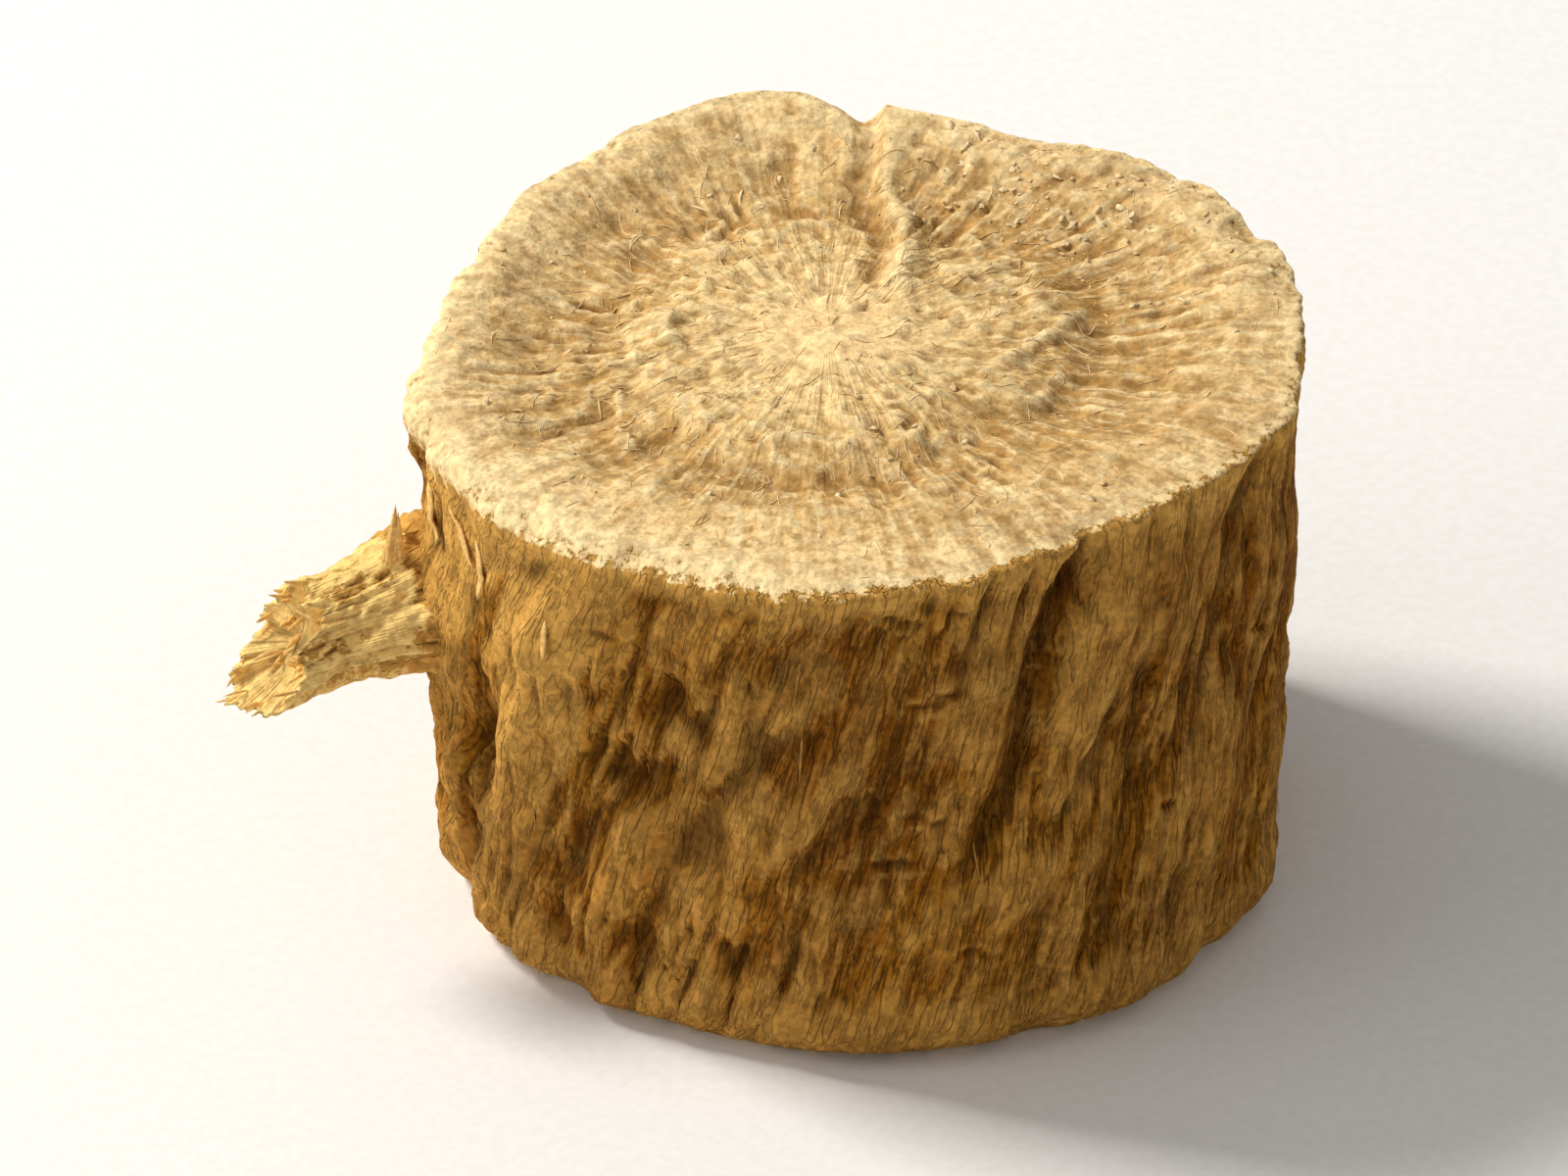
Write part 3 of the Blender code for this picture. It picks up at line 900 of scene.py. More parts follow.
tube = [(STUB_SIDES, ring / STUB_RINGS, 1.0) for ring in range(STUB_RINGS + 1)]
tube += [(STUB_SIDES, 1.0, 1 - ring / STUB_END_RINGS) for ring in range(1, STUB_END_RINGS)]
slope, share, girth = spread(tube, (0.0, 0.0), (1.0, 0.0))
stub = mesh_object(
    "torn_rootlet", stub_skin(share, slope, girth), ring_faces(tube, flipped=True))
ragged_edge = share + 0.05 * noise_at(on_ring(slope, share, 4.0), 1.0, 67)
torn_end = np.maximum(ease(ragged_edge, 0.955, 1.0), (girth < 1) * (share > 0.5))
peeled_wood = 0.95 + 0.6 * noise_at(on_ring(slope, share, 2.0, 2.2), 1.0, 69)
peeled_wood -= 0.9 * (1 - ease(ragged_edge, 0.46, 0.60))
cork_shreds = ease(noise_at(on_ring(slope, share, 1.0, 1.5), 0.8, 68), 0.10, 0.35)
mark_points(
    stub.data,
    cut=np.maximum(torn_end, peeled_wood),
    ray=on_ring(slope, 0.44 + 0.10 * girth),
    grain=on_ring(slope, share * (STUB_ROOTED + STUB_LENGTH) / MM, 0.6),
    down=np.full_like(share, STUB_DOWN),
    cork=cork_shreds * (1 - 0.8 * share) - 0.7,
)

# %% [markdown]
# ## Loose fibres
#
# A torn rootlet frays into threads, slivers of bark peel off under the rim, and on the
# cut lie short curls that the knife lifted. Each is one thin closed strip: a few rings
# of points along a bent line, thick in the middle and pointed at the ends. All of a
# kind are joined in one mesh, because hair would not survive an export.

# %% Strips
STRIP_SIDES = 6
STRIP_STEPS = 9


def strip(line, across, half_width, half_thickness, twist=0.0):
    places = [line[0]]
    for step in range(1, len(line) - 1):
        share = step / (len(line) - 1)
        girth = math.sin(math.pi * share) ** 0.55
        ahead = (line[step + 1] - line[step - 1]).normalized()
        side = (across - ahead * across.dot(ahead)).normalized()
        other = ahead.cross(side)
        lean = twist * share
        for count in range(STRIP_SIDES):
            around = 2 * math.pi * count / STRIP_SIDES
            flat_x = math.cos(around) * half_width * girth
            flat_y = math.sin(around) * half_thickness * girth
            turned_x = flat_x * math.cos(lean) - flat_y * math.sin(lean)
            turned_y = flat_x * math.sin(lean) + flat_y * math.cos(lean)
            places.append(line[step] + side * turned_x + other * turned_y)
    places.append(line[-1])
    return places


def joined(name, shapes, faces_of_one):
    places = [place for shape in shapes for place in shape]
    faces = []
    for number in range(len(shapes)):
        start = number * len(shapes[0])
        faces += [tuple(corner + start for corner in face) for face in faces_of_one]
    return mesh_object(name, np.array([tuple(place) for place in places]), faces)


strip_faces = ring_faces([(STRIP_SIDES,)] * (STRIP_STEPS - 1), flipped=True)


def bent_line(start, ahead, bend, length):
    shares = [step / STRIP_STEPS for step in range(STRIP_STEPS + 1)]
    return [start + ahead * (length * share) + bend * (length * share * share) for share in shares]


# %% [markdown]
# ## Threads of the torn rootlet
#
# They start inside its torn end and point on along it, each with its own small turn.
# Where it grows out of the drum, a splinter stands upright on it like a thorn. It is a
# bundle of fibres that draw together towards the tip, its place is given, and its
# lower half is sunk into the rootlet.

# %% Rootlet threads
THREAD_COUNT = 46
THREAD_SEED = 5
THREAD_LENGTH = (0.12 * MM, 0.42 * MM)
THREAD_HALF_WIDTH = (0.010 * MM, 0.034 * MM)
# Start, way to the end and bend in millimetres
SPLINTER = ((-5.10, -1.50, 4.10), (-0.02, -0.10, 1.50), (0.06, 0.00, 0.0))
SPLINTER_FIBRES = 26
SPLINTER_SPREAD = (0.30, 0.22, 0.10)


def rootlet_threads():
    chance = random.Random(THREAD_SEED)
    shapes = []
    for _ in range(THREAD_COUNT):
        around = chance.uniform(0, 360)
        girth = math.sqrt(chance.uniform(0.02, 1.0))
        start = stub_skin(np.array([0.97]), np.array([around]), np.array([girth]))[0]
        heading = STUB_HEADING + chance.uniform(-0.35, 0.35)
        ahead = Vector((math.cos(heading), math.sin(heading), chance.uniform(-0.55, 0.35)))
        bend = Vector((0, chance.uniform(-0.4, 0.4), chance.uniform(-0.6, 0.5)))
        line = bent_line(Vector(start), ahead, bend, chance.uniform(*THREAD_LENGTH))
        half_width = chance.uniform(*THREAD_HALF_WIDTH)
        shapes.append(strip(line, Vector((0, 0.3, 1)), half_width, half_width * 0.6, 1.0))
    start, ahead, bend = [Vector(values) for values in SPLINTER]
    for _ in range(SPLINTER_FIBRES):
        aside = Vector([chance.uniform(-spread, spread) for spread in SPLINTER_SPREAD])
        way = ahead * chance.uniform(0.70, 1.0) - aside * 1.5
        line = bent_line((start + aside) * MM, way, bend + aside * 0.55, MM)
        half_width = chance.uniform(0.022, 0.048) * MM
        shapes.append(strip(line, Vector((1, 0, 0)), half_width, half_width * 0.6, 0.5))
    return shapes


threads = joined("rootlet_threads", rootlet_threads(), strip_faces)

# %% [markdown]
# ## Slivers peeled from the bark
#
# Under the left of the rim a few pale slivers hang from the bark, and all round it lie
# two hundred hair-thin ones. Each sliver follows the bark, and only its far end lifts
# off. A sliver asks `shape_skin` for its points, so it starts where the bark really is.

# %% Bark slivers
# Angle, down, length, half width, lean in degrees, lift
PEELED = (
    (200, 0.075, 1.00 * MM, 0.090 * MM, 21, 0.10 * MM),
    (208, 0.090, 0.84 * MM, 0.070 * MM, 46, 0.07 * MM),
    (214, 0.120, 0.70 * MM, 0.062 * MM, 20, 0.08 * MM),
    (229, 0.170, 0.45 * MM, 0.045 * MM, 10, 0.06 * MM),
)
SMALL_SLIVERS = 200
SMALL_LENGTH = (0.15 * MM, 0.60 * MM)
SMALL_HALF_WIDTH = (0.007 * MM, 0.016 * MM)
SMALL_LIFT = (0.0, 0.035 * MM)
SLIVER_SEED = 8


def sliver(at, down, length, half_width, lean, lift):
    shares = np.arange(STRIP_STEPS + 1) / STRIP_STEPS
    angle = at + np.degrees(shares * length * math.sin(math.radians(lean)) / RADIUS)
    level = HEIGHT * (1 - down) - shares * length * math.cos(math.radians(lean))
    on_bark = shape_skin(angle, np.full_like(shares, 1.0), level)
    outward = Vector(on_ring(at, 0.0)[0])
    rise = lift * (0.25 + shares**2) - half_width * 0.25
    line = [Vector(place) + outward * out for place, out in zip(on_bark, rise)]
    return strip(line, Vector((-outward.y, outward.x, 0)), half_width, half_width * 0.30)


def bark_slivers():
    chance = random.Random(SLIVER_SEED)
    shapes = []
    for _ in range(SMALL_SLIVERS):
        at = chance.uniform(0, 360)
        down = chance.uniform(0.03, 0.92)
        length = chance.uniform(*SMALL_LENGTH)
        half_width = chance.uniform(*SMALL_HALF_WIDTH)
        lift = chance.uniform(*SMALL_LIFT)
        shapes.append(sliver(at, down, length, half_width, chance.gauss(-12, 9), lift))
    return shapes


peeled = joined("peeled_slivers", [sliver(*values) for values in PEELED], strip_faces)
slivers = joined("bark_slivers", bark_slivers(), strip_faces)

# %% [markdown]
# ## Fibres and crumbs on the cut
#
# A knife through dry tissue leaves a fuzz: hundreds of short fibres that lie nearly flat
# and mostly point at the pith, and a few wider curls that it lifted. They are strips
# that follow the cut. At the right-hand back the bark broke into white crumbs. Crumbs
# are small rough stones made from one ball, each squashed, turned and dented in its own
# way, and sunk into the cut so that none of them floats.

# %% Fibres and curls
FIBRE_SEED = 12
# How many, reach and its spread, heading from the pith and its spread, length, half width
FUZZ = (760, 0.50, 0.22, 0, 30, (0.12 * MM, 0.50 * MM), (0.004 * MM, 0.009 * MM))
CURLS = (26, 0.42, 0.15, 70, 50, (0.14 * MM, 0.34 * MM), (0.010 * MM, 0.018 * MM))


def fibres_on_cut(chance, count, middle, spread, heading, scatter, lengths, half_widths):
    shapes = []
    shares = np.arange(STRIP_STEPS + 1) / STRIP_STEPS
    for _ in range(count):
        at = chance.uniform(0, 360)
        out = abs(chance.gauss(middle, spread))
        length = chance.uniform(*lengths) / RADIUS
        bearing = at + chance.gauss(heading, scatter) + chance.uniform(-70, 70) * shares
        steps = on_ring(bearing, 0.0, length / STRIP_STEPS)
        x, y, _ = (on_ring(at, 0.0, out) + np.cumsum(steps, axis=0)).T
        reach = np.minimum(np.hypot(x, y), 0.94)
        on_cut = shape_skin(np.degrees(np.arctan2(y, x)), reach, np.full_like(reach, HEIGHT))
        half_width = chance.uniform(*half_widths)
        rise = half_width * (0.1 + chance.uniform(0.0, 0.9) * np.sin(math.pi * shares))
        line = [Vector(place) + Vector((0, 0, up)) for place, up in zip(on_cut, rise)]
        twist = chance.uniform(-1, 1)
        shapes.append(strip(line, Vector((0.2, 0.1, 1)), half_width * 0.6, half_width, twist))
    return shapes


fibre_chance = random.Random(FIBRE_SEED)
fibre_shapes = fibres_on_cut(fibre_chance, *FUZZ) + fibres_on_cut(fibre_chance, *CURLS)
fibres = joined("cut_fibres", fibre_shapes, strip_faces)

# %% Crumbs
CRUMBS_AT_BREAK = 170
CRUMBS_ELSEWHERE = 110
BREAK_AT = 46
BREAK_SPREAD = 20
CRUMB_SEED = 17
CRUMB_RADIUS = (0.016 * MM, 0.060 * MM)
CRUMB_SQUASH = ((0.9, 2.0), (0.6, 1.0), (0.25, 0.5))


def ball():
    shell = bmesh.new()
    bmesh.ops.create_icosphere(shell, subdivisions=2, radius=1.0)
    places = [vertex.co.copy() for vertex in shell.verts]
    faces = [tuple(corner.index for corner in face.verts) for face in shell.faces]
    shell.free()
    return places, faces


def cut_crumbs(places):
    chance = random.Random(CRUMB_SEED)
    shapes = []
    for number in range(CRUMBS_AT_BREAK + CRUMBS_ELSEWHERE):
        if number < CRUMBS_AT_BREAK:
            angle, reach = chance.gauss(BREAK_AT, BREAK_SPREAD), chance.uniform(0.58, 0.95)
        else:
            angle, reach = chance.uniform(0, 360), math.sqrt(chance.uniform(0.02, 0.85))
        radius = chance.uniform(*CRUMB_RADIUS) * chance.uniform(0.4, 1.0)
        middle = Vector(shape_skin(*np.array([[angle], [reach], [HEIGHT]]))[0])
        tilt = (chance.gauss(0, 0.3), chance.gauss(0, 0.3), chance.uniform(0, math.tau))
        turned = Euler(tilt).to_matrix()
        squash = Vector([chance.uniform(*limits) for limits in CRUMB_SQUASH])
        shift = Vector((number * 3.1, 0, 0))
        dents = [1 + 0.9 * noise.noise(place * 1.3 + shift) for place in places]
        shapes.append([
            middle + turned @ (place * squash) * radius * dent
            for place, dent in zip(places, dents)])
    return shapes


ball_places, ball_faces = ball()
crumbs = joined("cut_crumbs", cut_crumbs(ball_places), ball_faces)

# %% [markdown]
# ## Small helpers for materials
#
# A material in Blender is a tree of nodes. `put` adds a node, sets it up and plugs it
# in, so that a material reads as a list of steps. `tinted` lays one faint tint over
# another: each row names a value, where its tint starts, where it is full, how strong it
# is and its colour. `new_group` starts a node group: an effect with named inputs and
# outputs that is built once and used in many materials. Colours are written as the usual
# 0 to 255 values, which `paint` turns into the linear light that Blender works with.

# %% Node helpers
COLOUR, NUMBER, VECTOR = "NodeSocketColor", "NodeSocketFloat", "NodeSocketVector"


def put(tree, kind, sockets=None, **settings):
    made = tree.nodes.new(kind)
    for name, value in settings.items():
        setattr(made, name, value)
    for key, value in (sockets or {}).items():
        if isinstance(value, bpy.types.NodeSocket):
            tree.links.new(value, made.inputs[key])
        else:
            made.inputs[key].default_value = value
    return made


def paint(red, green, blue):
    return (*[((part / 255 + 0.055) / 1.055) ** 2.4 for part in (red, green, blue)], 1.0)


def maths(tree, operation, first, second=0.5, third=0.5):
    sockets = {0: first, 1: second, 2: third}
    return put(tree, "ShaderNodeMath", sockets, operation=operation).outputs[0]


def between(tree, value, low, high, to_low=0.0, to_high=1.0):
    sockets = {0: value, 1: low, 2: high, 3: to_low, 4: to_high}
    return put(tree, "ShaderNodeMapRange", sockets, interpolation_type="SMOOTHSTEP").outputs[0]


def mixed(tree, share, first, second, kind="MIX"):
    sockets = {0: share, 6: first, 7: second}
    return put(tree, "ShaderNodeMix", sockets, data_type="RGBA", blend_type=kind).outputs[2]


def tinted(tree, colour, rows):
    for value, low, high, share, tint in rows:
        colour = mixed(tree, between(tree, value, low, high, 0.0, share), colour, tint)
    return colour


def gap_from(tree, value, middle):
    return maths(tree, "ABSOLUTE", maths(tree, "SUBTRACT", value, middle))


def noise_node(tree, place, scale, detail, rough):
    sockets = {"Vector": place, "Scale": scale, "Detail": detail, "Roughness": rough}
    return put(tree, "ShaderNodeTexNoise", sockets).outputs[0]


def stretched(tree, place, scale):
    sockets = {0: place, 1: scale}
    return put(tree, "ShaderNodeVectorMath", sockets, operation="MULTIPLY").outputs[0]


def combed_noise(tree, place, scale, detail, rough):
    return noise_node(tree, stretched(tree, place, scale), 1.0, detail, rough)


def ramp(tree, value, stops):
    made = put(tree, "ShaderNodeValToRGB", {0: value})
    elements = made.color_ramp.elements
    elements[0].position, elements[0].color = stops[0]
    elements[1].position, elements[1].color = stops[-1]
    for position, colour in stops[1:-1]:
        elements.new(position).color = colour
    return made.outputs[0]


def new_group(name, inputs, outputs):
    group = bpy.data.node_groups.new(name, "ShaderNodeTree")
    for label, kind in inputs.items():
        group.interface.new_socket(label, in_out="INPUT", socket_type=kind)
    for label, kind in outputs.items():
        group.interface.new_socket(label, in_out="OUTPUT", socket_type=kind)
    given = group.nodes.new("NodeGroupInput").outputs
    return group, given, group.nodes.new("NodeGroupOutput").inputs


def give(group, result, **values):
    for name, value in values.items():
        group.links.new(value, result[name])


def use(tree, group, **sockets):
    named = {name.replace("_", " ").capitalize(): value for name, value in sockets.items()}
    return put(tree, "ShaderNodeGroup", named, node_tree=group).outputs


def attribute(tree, name, output="Fac"):
    return put(tree, "ShaderNodeAttribute", attribute_name=name).outputs[output]


def new_material(name, roughness, specular):
    material = bpy.data.materials.new(name)
    material.use_nodes = True
    tree = material.node_tree
    shader = tree.nodes["Principled BSDF"]
    shader.inputs["Roughness"].default_value = roughness
    shader.inputs["Specular IOR Level"].default_value = specular
    coordinates = put(tree, "ShaderNodeTexCoord").outputs["Object"]
    place = stretched(tree, coordinates, (1 / MM, 1 / MM, 1 / MM))
    return material, tree, shader, place


def cover(tree, shader, colour, shade, roughness, height, deep):
    shaded = put(tree, "ShaderNodeVectorMath", {0: colour, "Scale": shade}, operation="SCALE")
    bump = put(tree, "ShaderNodeBump", {"Height": height, "Distance": deep, "Strength": 1.0})
    tree.links.new(shaded.outputs[0], shader.inputs["Base Color"])
    tree.links.new(roughness, shader.inputs["Roughness"])
    tree.links.new(bump.outputs[0], shader.inputs["Normal"])


# %% [markdown]
# ## Painted shade in the hollows, painted highlight on the ridges
#
# What lies deep is painted darker, as the shade that falls into creases and furrows, and
# what stands proud is painted paler, as a highlight. The drum and the rootlet both use
# this, so it is the first node group. It takes a colour and the two measured hollows,
# and shifts the colour both ways.

# %% Group: painted shade and highlight
def shade_and_highlight_group():
    inputs = dict.fromkeys(("Colour", "Dark", "Pale"), COLOUR)
    inputs.update(dict.fromkeys(("Crease", "Furrow", "Dark share", "Pale share"), NUMBER))
    group, given, result = new_group("shade_and_highlight", inputs, {"Colour": COLOUR})
    # Painted shade: darker where a crease or a furrow lies deep
    thin = between(group, given["Crease"], 0.50, 1.0)
    wide = between(group, given["Furrow"], 0.50, 1.0)
    deep = maths(group, "MAXIMUM", thin, wide)
    dark = maths(group, "MULTIPLY", deep, given["Dark share"])
    sunk = mixed(group, dark, given["Colour"], given["Dark"])
    # Painted highlight: paler where the surface stands proud
    ridge = between(group, given["Crease"], 0.48, 0.10)
    proud = maths(group, "MAXIMUM", ridge, between(group, given["Furrow"], 0.46, 0.10))
    pale = maths(group, "MULTIPLY", proud, given["Pale share"])
    give(group, result, Colour=mixed(group, pale, sunk, given["Pale"]))
    return group


SHADE_AND_HIGHLIGHT = shade_and_highlight_group()

# %% [markdown]
# ## The dry grain of plant tissue
#
# Dried tissue is never smooth: it is a felt of cells and short fibres. This group gives
# two things at once, a speckled shade for the colour and a height for the bump, from
# the same noise, so that what looks dark also looks deep.

# %% Group: dry grain
def dry_grain_group():
    inputs = {"Place": VECTOR, "Size": NUMBER}
    group, given, result = new_group("dry_grain", inputs, {"Shade": NUMBER, "Height": NUMBER})
    scale = maths(group, "DIVIDE", 1.0, given["Size"])
    felt = noise_node(group, given["Place"], scale, 2.0, 0.75)
    give(group, result, Shade=between(group, felt, 0.34, 0.66), Height=felt)
    return group


DRY_GRAIN = dry_grain_group()

# %% [markdown]
# ## Bark colour
#
# The bark is tan where it is thin and brown where it is thick, in patches drawn out
# along the root. Finer streaks and fibres run the same way, because every noise reads
# the `grain` coordinate and is squashed along it. They stay faint: strong ones look like
# fur, and the creases of the mesh do more for bark than paint can. Where the cork is
# gone, and in a narrow band under the knife, the paler layer below shows.
#
# A noise passes through its middle value along long thin lines. Those of the streaks
# are drawn dark, and those of the wrinkles are drawn dark and sunk as well, and where
# the wrinkle noise is lowest sit short dark dashes. Nothing else goes into the height: a
# Bump node works it out three times for each ray, so a short height renders quickly.

# %% Group: bark colour
BARK_TAN = paint(165, 107, 23)
BARK_BROWN = paint(134, 80, 9)
BARK_RUST = paint(146, 82, 10)
BARK_STRAW = paint(220, 167, 84)
BARK_DARK = paint(62, 35, 4)
BARE_STRAW = 0.62


def bark_colour_group():
    inputs = {"Grain": VECTOR, "Down": NUMBER, "Cork": NUMBER}
    group, given, result = new_group("bark_colour", inputs, {"Colour": COLOUR, "Height": NUMBER})
    patches = combed_noise(group, given["Grain"], (0.62, 0.62, 0.26), 1.0, 0.60)
    mottle = combed_noise(group, given["Grain"], (2.4, 2.4, 1.5), 1.0, 0.65)
    streaks = combed_noise(group, given["Grain"], (4.6, 4.6, 0.8), 2.0, 0.62)
    fibres = combed_noise(group, given["Grain"], (19.0, 19.0, 1.6), 1.0, 0.60)
    wrinkles = combed_noise(group, given["Grain"], (7.0, 7.0, 1.5), 2.0, 0.60)
    line = gap_from(group, streaks, 0.5)
    wrinkle = gap_from(group, wrinkles, 0.5)
    colour = mixed(group, between(group, patches, 0.38, 0.64), BARK_TAN, BARK_BROWN)
    colour = tinted(group, colour, (
        (mottle, 0.50, 0.60, 0.40, BARK_RUST),
        (mottle, 0.46, 0.34, 0.25, BARK_DARK),
        (streaks, 0.52, 0.64, 0.26, BARK_STRAW),
        (streaks, 0.46, 0.34, 0.30, BARK_DARK),
        (fibres, 0.50, 0.64, 0.20, BARK_STRAW),
        (fibres, 0.50, 0.36, 0.22, BARK_DARK),
        (line, 0.018, 0.004, 0.45, BARK_DARK),
        (wrinkle, 0.026, 0.006, 0.55, BARK_DARK),
        (wrinkles, 0.345, 0.305, 0.62, BARK_DARK)))
    bare = maths(group, "MULTIPLY", maths(group, "SUBTRACT", 1.0, given["Cork"]), BARE_STRAW)
    colour = mixed(group, bare, colour, BARK_STRAW)
    under_knife = maths(group, "MULTIPLY_ADD", streaks, 0.16, given["Down"])
    colour = tinted(group, colour, ((under_knife, 0.16, 0.085, 0.60, BARK_STRAW),))
    give(group, result, Colour=colour, Height=between(group, wrinkle, 0.0, 0.060, 0.0, 0.8))
    return group


BARK_COLOUR = bark_colour_group()

# %% [markdown]
# ## Colour of the cut
#
# From the middle outwards: a pale pith, wood of a warm yellow, a darker ring where the
# root grew, inner bark with dark short slits, and an outer band of pale cream. The rings
# are one colour ramp over the reach, which a noise makes wander. `Ray` carries the
# direction, so noises that read it make fibres that point at the pith. There they would
# meet in a star, so colour and height fade to a plain pale patch. The right-hand side
# is painted a little darker, as shade on the side that faces away from the key lamp.

# %% Group: cut colour
CUT_RINGS = (
    (0.00, paint(252, 219, 160)),
    (0.16, paint(252, 220, 159)),
    (0.30, paint(244, 211, 148)),
    (0.43, paint(232, 196, 132)),
    (0.56, paint(204, 164, 102)),
    (0.66, paint(214, 175, 113)),
    (0.78, paint(236, 200, 138)),
    (0.93, paint(249, 217, 159)),
    (1.00, paint(246, 211, 150)),
)
CUT_LINE = paint(170, 124, 62)
CUT_SPECK = paint(128, 88, 42)
CUT_DARK = paint(146, 102, 48)
CUT_PALE = paint(254, 230, 176)
PITH_CREAM = paint(251, 216, 156)
# Warm wood colour with painted warm bounced light, for the rootlet's shaded torn wood
TORN_GOLD_AND_BOUNCE = paint(255, 218, 136)
SLIT_REACH = 0.64


def cut_colour_group():
    inputs = {"Place": VECTOR, "Ray": VECTOR}
    group, given, result = new_group("cut_colour", inputs, {"Colour": COLOUR, "Height": NUMBER})
    even_reach = put(group, "ShaderNodeSeparateXYZ", {0: given["Ray"]}).outputs[2]
    rightward_shade = put(group, "ShaderNodeSeparateXYZ", {0: given["Place"]}).outputs[0]
    wobble = maths(group, "SUBTRACT", noise_node(group, given["Place"], 0.9, 1.0, 0.6), 0.5)
    reach = maths(group, "MULTIPLY_ADD", wobble, 0.16, even_reach)
    rays = combed_noise(group, given["Ray"], (9.0, 9.0, 2.6), 1.0, 0.65)
    threads = combed_noise(group, given["Ray"], (34.0, 34.0, 6.0), 1.0, 0.60)
    slits = combed_noise(group, given["Ray"], (20.0, 20.0, 8.0), 1.0, 0.50)
    flecks = noise_node(group, given["Place"], 4.2, 2.0, 0.70)
    grit = noise_node(group, given["Place"], 13.0, 1.0, 0.60)
    colour = ramp(group, reach, CUT_RINGS)
    # Painted shade: the cut darkens towards the right-hand side, away from the key lamp
    colour = tinted(group, colour, ((rightward_shade, -0.5, 2.5, 0.28, CUT_LINE),))
    outwards = between(group, reach, 0.0, 0.34, 0.15, 0.50)
    flecked = maths(group, "MULTIPLY", between(group, flecks, 0.50, 0.34), outwards)
    colour = mixed(group, flecked, colour, CUT_LINE)
    colour = tinted(group, colour, (
        (flecks, 0.52, 0.68, 0.56, CUT_PALE),
        (rays, 0.50, 0.32, 0.45, CUT_LINE),
        (threads, 0.52, 0.70, 0.50, CUT_PALE),
        (threads, 0.46, 0.30, 0.36, CUT_LINE),
        (grit, 0.46, 0.32, 0.35, CUT_LINE),
        (reach, 0.34, 0.04, 0.86, PITH_CREAM)))
    inner_bark = between(group, gap_from(group, reach, SLIT_REACH), 0.17, 0.05, 0.0, 0.55)
    slit = maths(group, "MULTIPLY", between(group, slits, 0.60, 0.70), inner_bark)
    height = maths(group, "MULTIPLY", threads, between(group, even_reach, 0.02, 0.26))
    give(group, result, Colour=mixed(group, slit, colour, CUT_SPECK), Height=height)
    return group


CUT_COLOUR = cut_colour_group()
print("node groups:", [group.name for group in bpy.data.node_groups])

# %% [markdown]
# ## Material of the drum
#
# The skin carries two finishes, bark and cut, and its `cut` attribute chooses. A little
# noise on the border keeps the edge between them ragged, as a knife leaves it. The
# border is a thin ring, though, and a material takes time for everything in it, so only
# the faces along the edge and the rootlet get a material with both. The rest get one
# with the bark or the cut alone, which meets it with no seam, because there the choice
# is wholly made. The rootlet's torn wood is painted more golden and paler than the clean
# cut, with less painted shade in its hollows: golden wood, and painted warm bounced light
# on its shaded side. The distance
# of the Bump node is the real height of the grain in metres.

# %% Root materials
BARK_BUMP = 0.032 * MM
CUT_BUMP = 0.024 * MM
ROOT_GRAIN = 0.15
# Share of the painted warm bounced light colour on the rootlet
TORN_WOOD_AND_BOUNCE = 0.85


def bark_finish(tree, crease, furrow):
    bark = use(tree, BARK_COLOUR, grain=attribute(tree, "grain", "Vector"),
               down=attribute(tree, "down"), cork=attribute(tree, "cork"))
    # Painted shade in the bark's hollows and painted highlight on its ridges
    worn = use(tree, SHADE_AND_HIGHLIGHT, colour=bark["Colour"], dark=BARK_DARK, pale=BARK_STRAW,
               crease=crease, furrow=furrow, dark_share=0.60, pale_share=0.40)
    return worn["Colour"], bark["Height"]


def cut_finish(tree, crease, furrow, place, gold_and_bounce):
    cut = use(tree, CUT_COLOUR, place=place, ray=attribute(tree, "ray", "Vector"))
    colour = mixed(tree, gold_and_bounce, cut["Colour"], TORN_GOLD_AND_BOUNCE) if gold_and_bounce else cut["Colour"]
    # Painted shade in the cut's hollows and painted highlight on its ridges
    worn = use(tree, SHADE_AND_HIGHLIGHT, colour=colour, dark=CUT_DARK, pale=TORN_GOLD_AND_BOUNCE if gold_and_bounce else CUT_PALE,
               crease=crease, furrow=furrow, dark_share=0.58 - 0.45 * gold_and_bounce, pale_share=0.50)
    return worn["Colour"], cut["Height"]


def root_material(name, has_bark, has_cut, gold_and_bounce=0.0):
    material, tree, shader, place = new_material(name, 0.88, 0.08)
    crease, furrow = attribute(tree, "crease"), attribute(tree, "furrow")
    grain = use(tree, DRY_GRAIN, place=place, size=ROOT_GRAIN)
    if has_bark:
        colour, height = bark_finish(tree, crease, furrow)
    if has_cut:
        cut_colour, cut_height = cut_finish(tree, crease, furrow, place, gold_and_bounce)
        if has_bark:
            ragged = maths(tree, "MULTIPLY_ADD", grain["Height"], 1.8, attribute(tree, "cut"))
            on_cut = between(tree, ragged, 1.42, 1.74)
            cut_colour = mixed(tree, on_cut, colour, cut_colour)
            step_up = maths(tree, "SUBTRACT", cut_height, height)
            cut_height = maths(tree, "MULTIPLY_ADD", step_up, on_cut, height)
        colour, height = cut_colour, cut_height
    shade = between(tree, grain["Shade"], 0.0, 1.0, 0.80, 1.12)
    roughness = between(tree, grain["Height"], 0.3, 0.7, 0.98, 0.80)
    height = maths(tree, "ADD", grain["Height"], height)
    cover(tree, shader, colour, shade, roughness, height, BARK_BUMP if has_bark else CUT_BUMP)
    return material


def paint_by_cut(mesh, materials):
    marks = np.empty(len(mesh.vertices))
    mesh.attributes["cut"].data.foreach_get("value", marks)
    for material in materials:
        mesh.materials.append(material)
    for face in mesh.polygons:
        least = min(marks[corner] for corner in face.vertices)
        most = max(marks[corner] for corner in face.vertices)
        face.material_index = 0 if most == 0 else 1 if least == 1 else 2


bark_only = root_material("root_bark", True, False)
cut_only = root_material("root_cut", False, True)
knife_edge = root_material("root_knife_edge", True, True)
paint_by_cut(skin.data, (bark_only, cut_only, knife_edge))
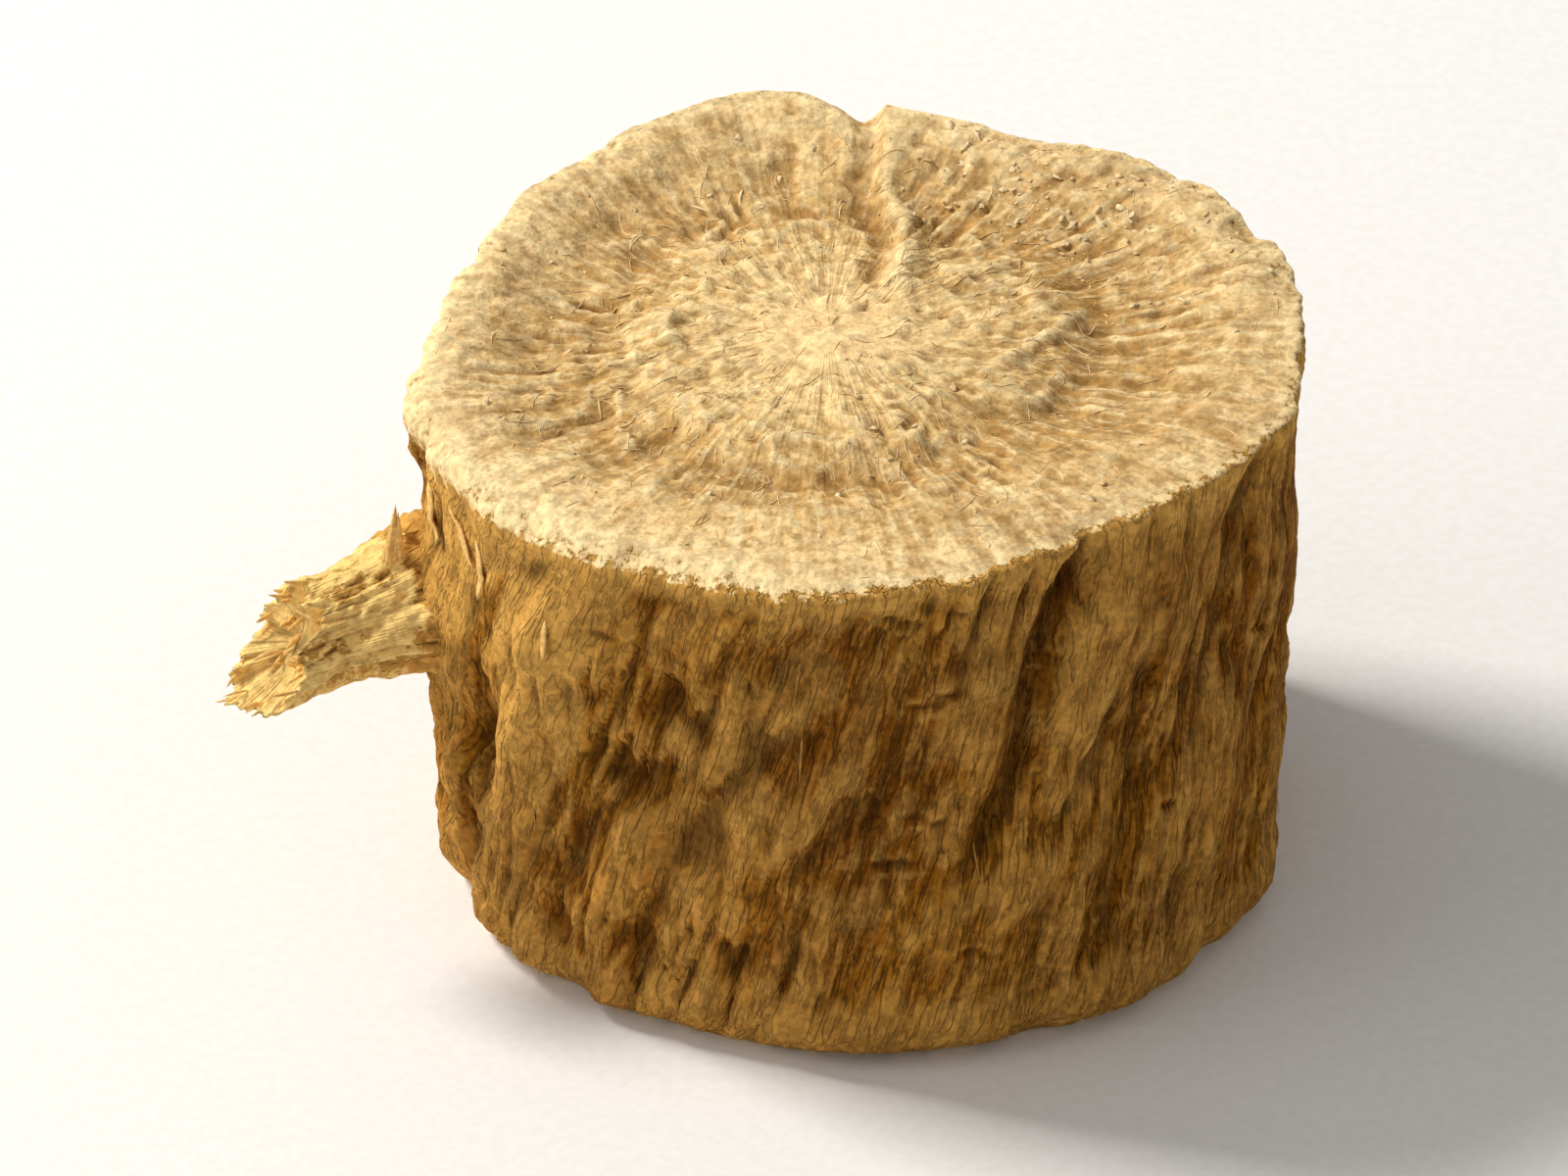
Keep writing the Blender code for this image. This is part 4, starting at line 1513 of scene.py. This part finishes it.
# The rootlet's material: torn wood with painted warm bounced light and less painted shade
stub.data.materials.append(root_material("root_torn", True, True, TORN_WOOD_AND_BOUNCE))

# %% [markdown]
# ## Material of the loose bits
#
# Threads, slivers, fibres and crumbs are the same tissue, torn. They differ mostly in
# how pale they are: bark slivers are tan, and what comes from inside is straw or cream.
# The straw of the rootlet's threads and of the peeled slivers is painted paler and warmer
# as well, as warm bounced light on their shaded side.

# %% Loose bits
def bits_material(name, dull, bright, size):
    material, tree, shader, place = new_material(name, 0.84, 0.25)
    grain = use(tree, DRY_GRAIN, place=place, size=size)
    patches = noise_node(tree, place, 1.3, 3.0, 0.6)
    colour = mixed(tree, between(tree, patches, 0.35, 0.65), dull, bright)
    shade = between(tree, grain["Shade"], 0.0, 1.0, 0.80, 1.08)
    roughness = between(tree, patches, 0.3, 0.7, 0.92, 0.76)
    cover(tree, shader, colour, shade, roughness, grain["Height"], CUT_BUMP)
    return material


# Name, darker and paler colour, size of the grain in millimetres, pieces
BITS = (
    # Straw painted paler and warmer: painted warm bounced light on shaded threads and slivers
    ("rootlet_straw", paint(232, 183, 104), paint(254, 213, 136), 0.10, (threads, peeled)),
    ("sliver_tan", paint(144, 94, 34), paint(192, 142, 70), 0.12, (slivers,)),
    ("fibre_cream", paint(226, 190, 128), paint(250, 226, 172), 0.12, (fibres,)),
    ("crumb_cream", paint(222, 188, 132), paint(246, 220, 172), 0.10, (crumbs,)),
)
for *look, wearers in BITS:
    material = bits_material(*look)
    for wearer in wearers:
        wearer.data.materials.append(material)
print("materials:", [material.name for material in bpy.data.materials])

# %% [markdown]
# ## Floor
#
# The piece stands on a plain pale sheet, a tenth of a hair below its foot so that the
# two never share a plane. A faint tooth keeps the sheet from looking like nothing.

# %% Floor
FLOOR_HALF = 0.30
FLOOR_GAP = 0.01 * MM
FLOOR_PALE = paint(250, 249, 247)
FLOOR_SHADE = paint(246, 245, 242)

corners = np.array([(-1, -1), (1, -1), (1, 1), (-1, 1)]) * FLOOR_HALF
floor = mesh_object("floor", stack(*corners.T, -FLOOR_GAP), [(0, 1, 2, 3)])
paper, tree, shader, place = new_material("pale_sheet", 0.9, 0.2)
tooth = between(tree, noise_node(tree, place, 7.0, 1.0, 0.5), 0.3, 0.7)
tree.links.new(mixed(tree, tooth, FLOOR_SHADE, FLOOR_PALE), shader.inputs["Base Color"])
floor.data.materials.append(paper)

# %% [markdown]
# ## Light
#
# The photograph's light comes from the upper left, a little from behind, and is soft:
# rims gleam on the left and the front of the bark lies in brown shade. One square lamp
# near the piece does that. A large weak lamp on the left lights the bark over the
# rootlet, and a pale sky lifts the shade. At this scale lamps are small and close, so a
# fraction of a watt is enough.

# %% Lights
SKY_STRENGTH = 0.36


def soft_lamp(name, azimuth, elevation, distance, size, power, colour):
    lamp = bpy.data.lights.new(name, "AREA")
    lamp.energy = power
    lamp.size = size
    lamp.color = colour
    return placed(name, lamp, azimuth, elevation, distance)


# Azimuth is counted from the camera's side, clockwise as seen from above
soft_lamp("key_lamp", -113, 46, 0.20, 0.050, 0.37, (1.0, 0.97, 0.92))
soft_lamp("side_lamp", -74, 34, 0.30, 0.16, 0.105, (1.0, 0.97, 0.93))
sky = bpy.data.worlds.new("pale_sky")
sky.use_nodes = True
backdrop = sky.node_tree.nodes["Background"]
backdrop.inputs["Color"].default_value = (1.0, 0.99, 0.97, 1.0)
backdrop.inputs["Strength"].default_value = SKY_STRENGTH
bpy.context.scene.world = sky
bpy.context.scene.view_settings.view_transform = "Standard"

# %% [markdown]
# ## Telling the frame what each piece is
#
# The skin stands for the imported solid. The rootlet and the loose bits belong to it too,
# so they ride on the same body and take the same finish slot. Last come the two boxes,
# the solid's and the finished model's, to compare: they should differ by little more
# than loose fibres and crumbs.

# %% Hand over
pieces = (skin, stub, threads, peeled, slivers, fibres, crumbs)
for piece in pieces:
    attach(piece, "root")
    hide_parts("root_piece")
print("in all", sum(triangles(piece.data) for piece in pieces), "triangles")
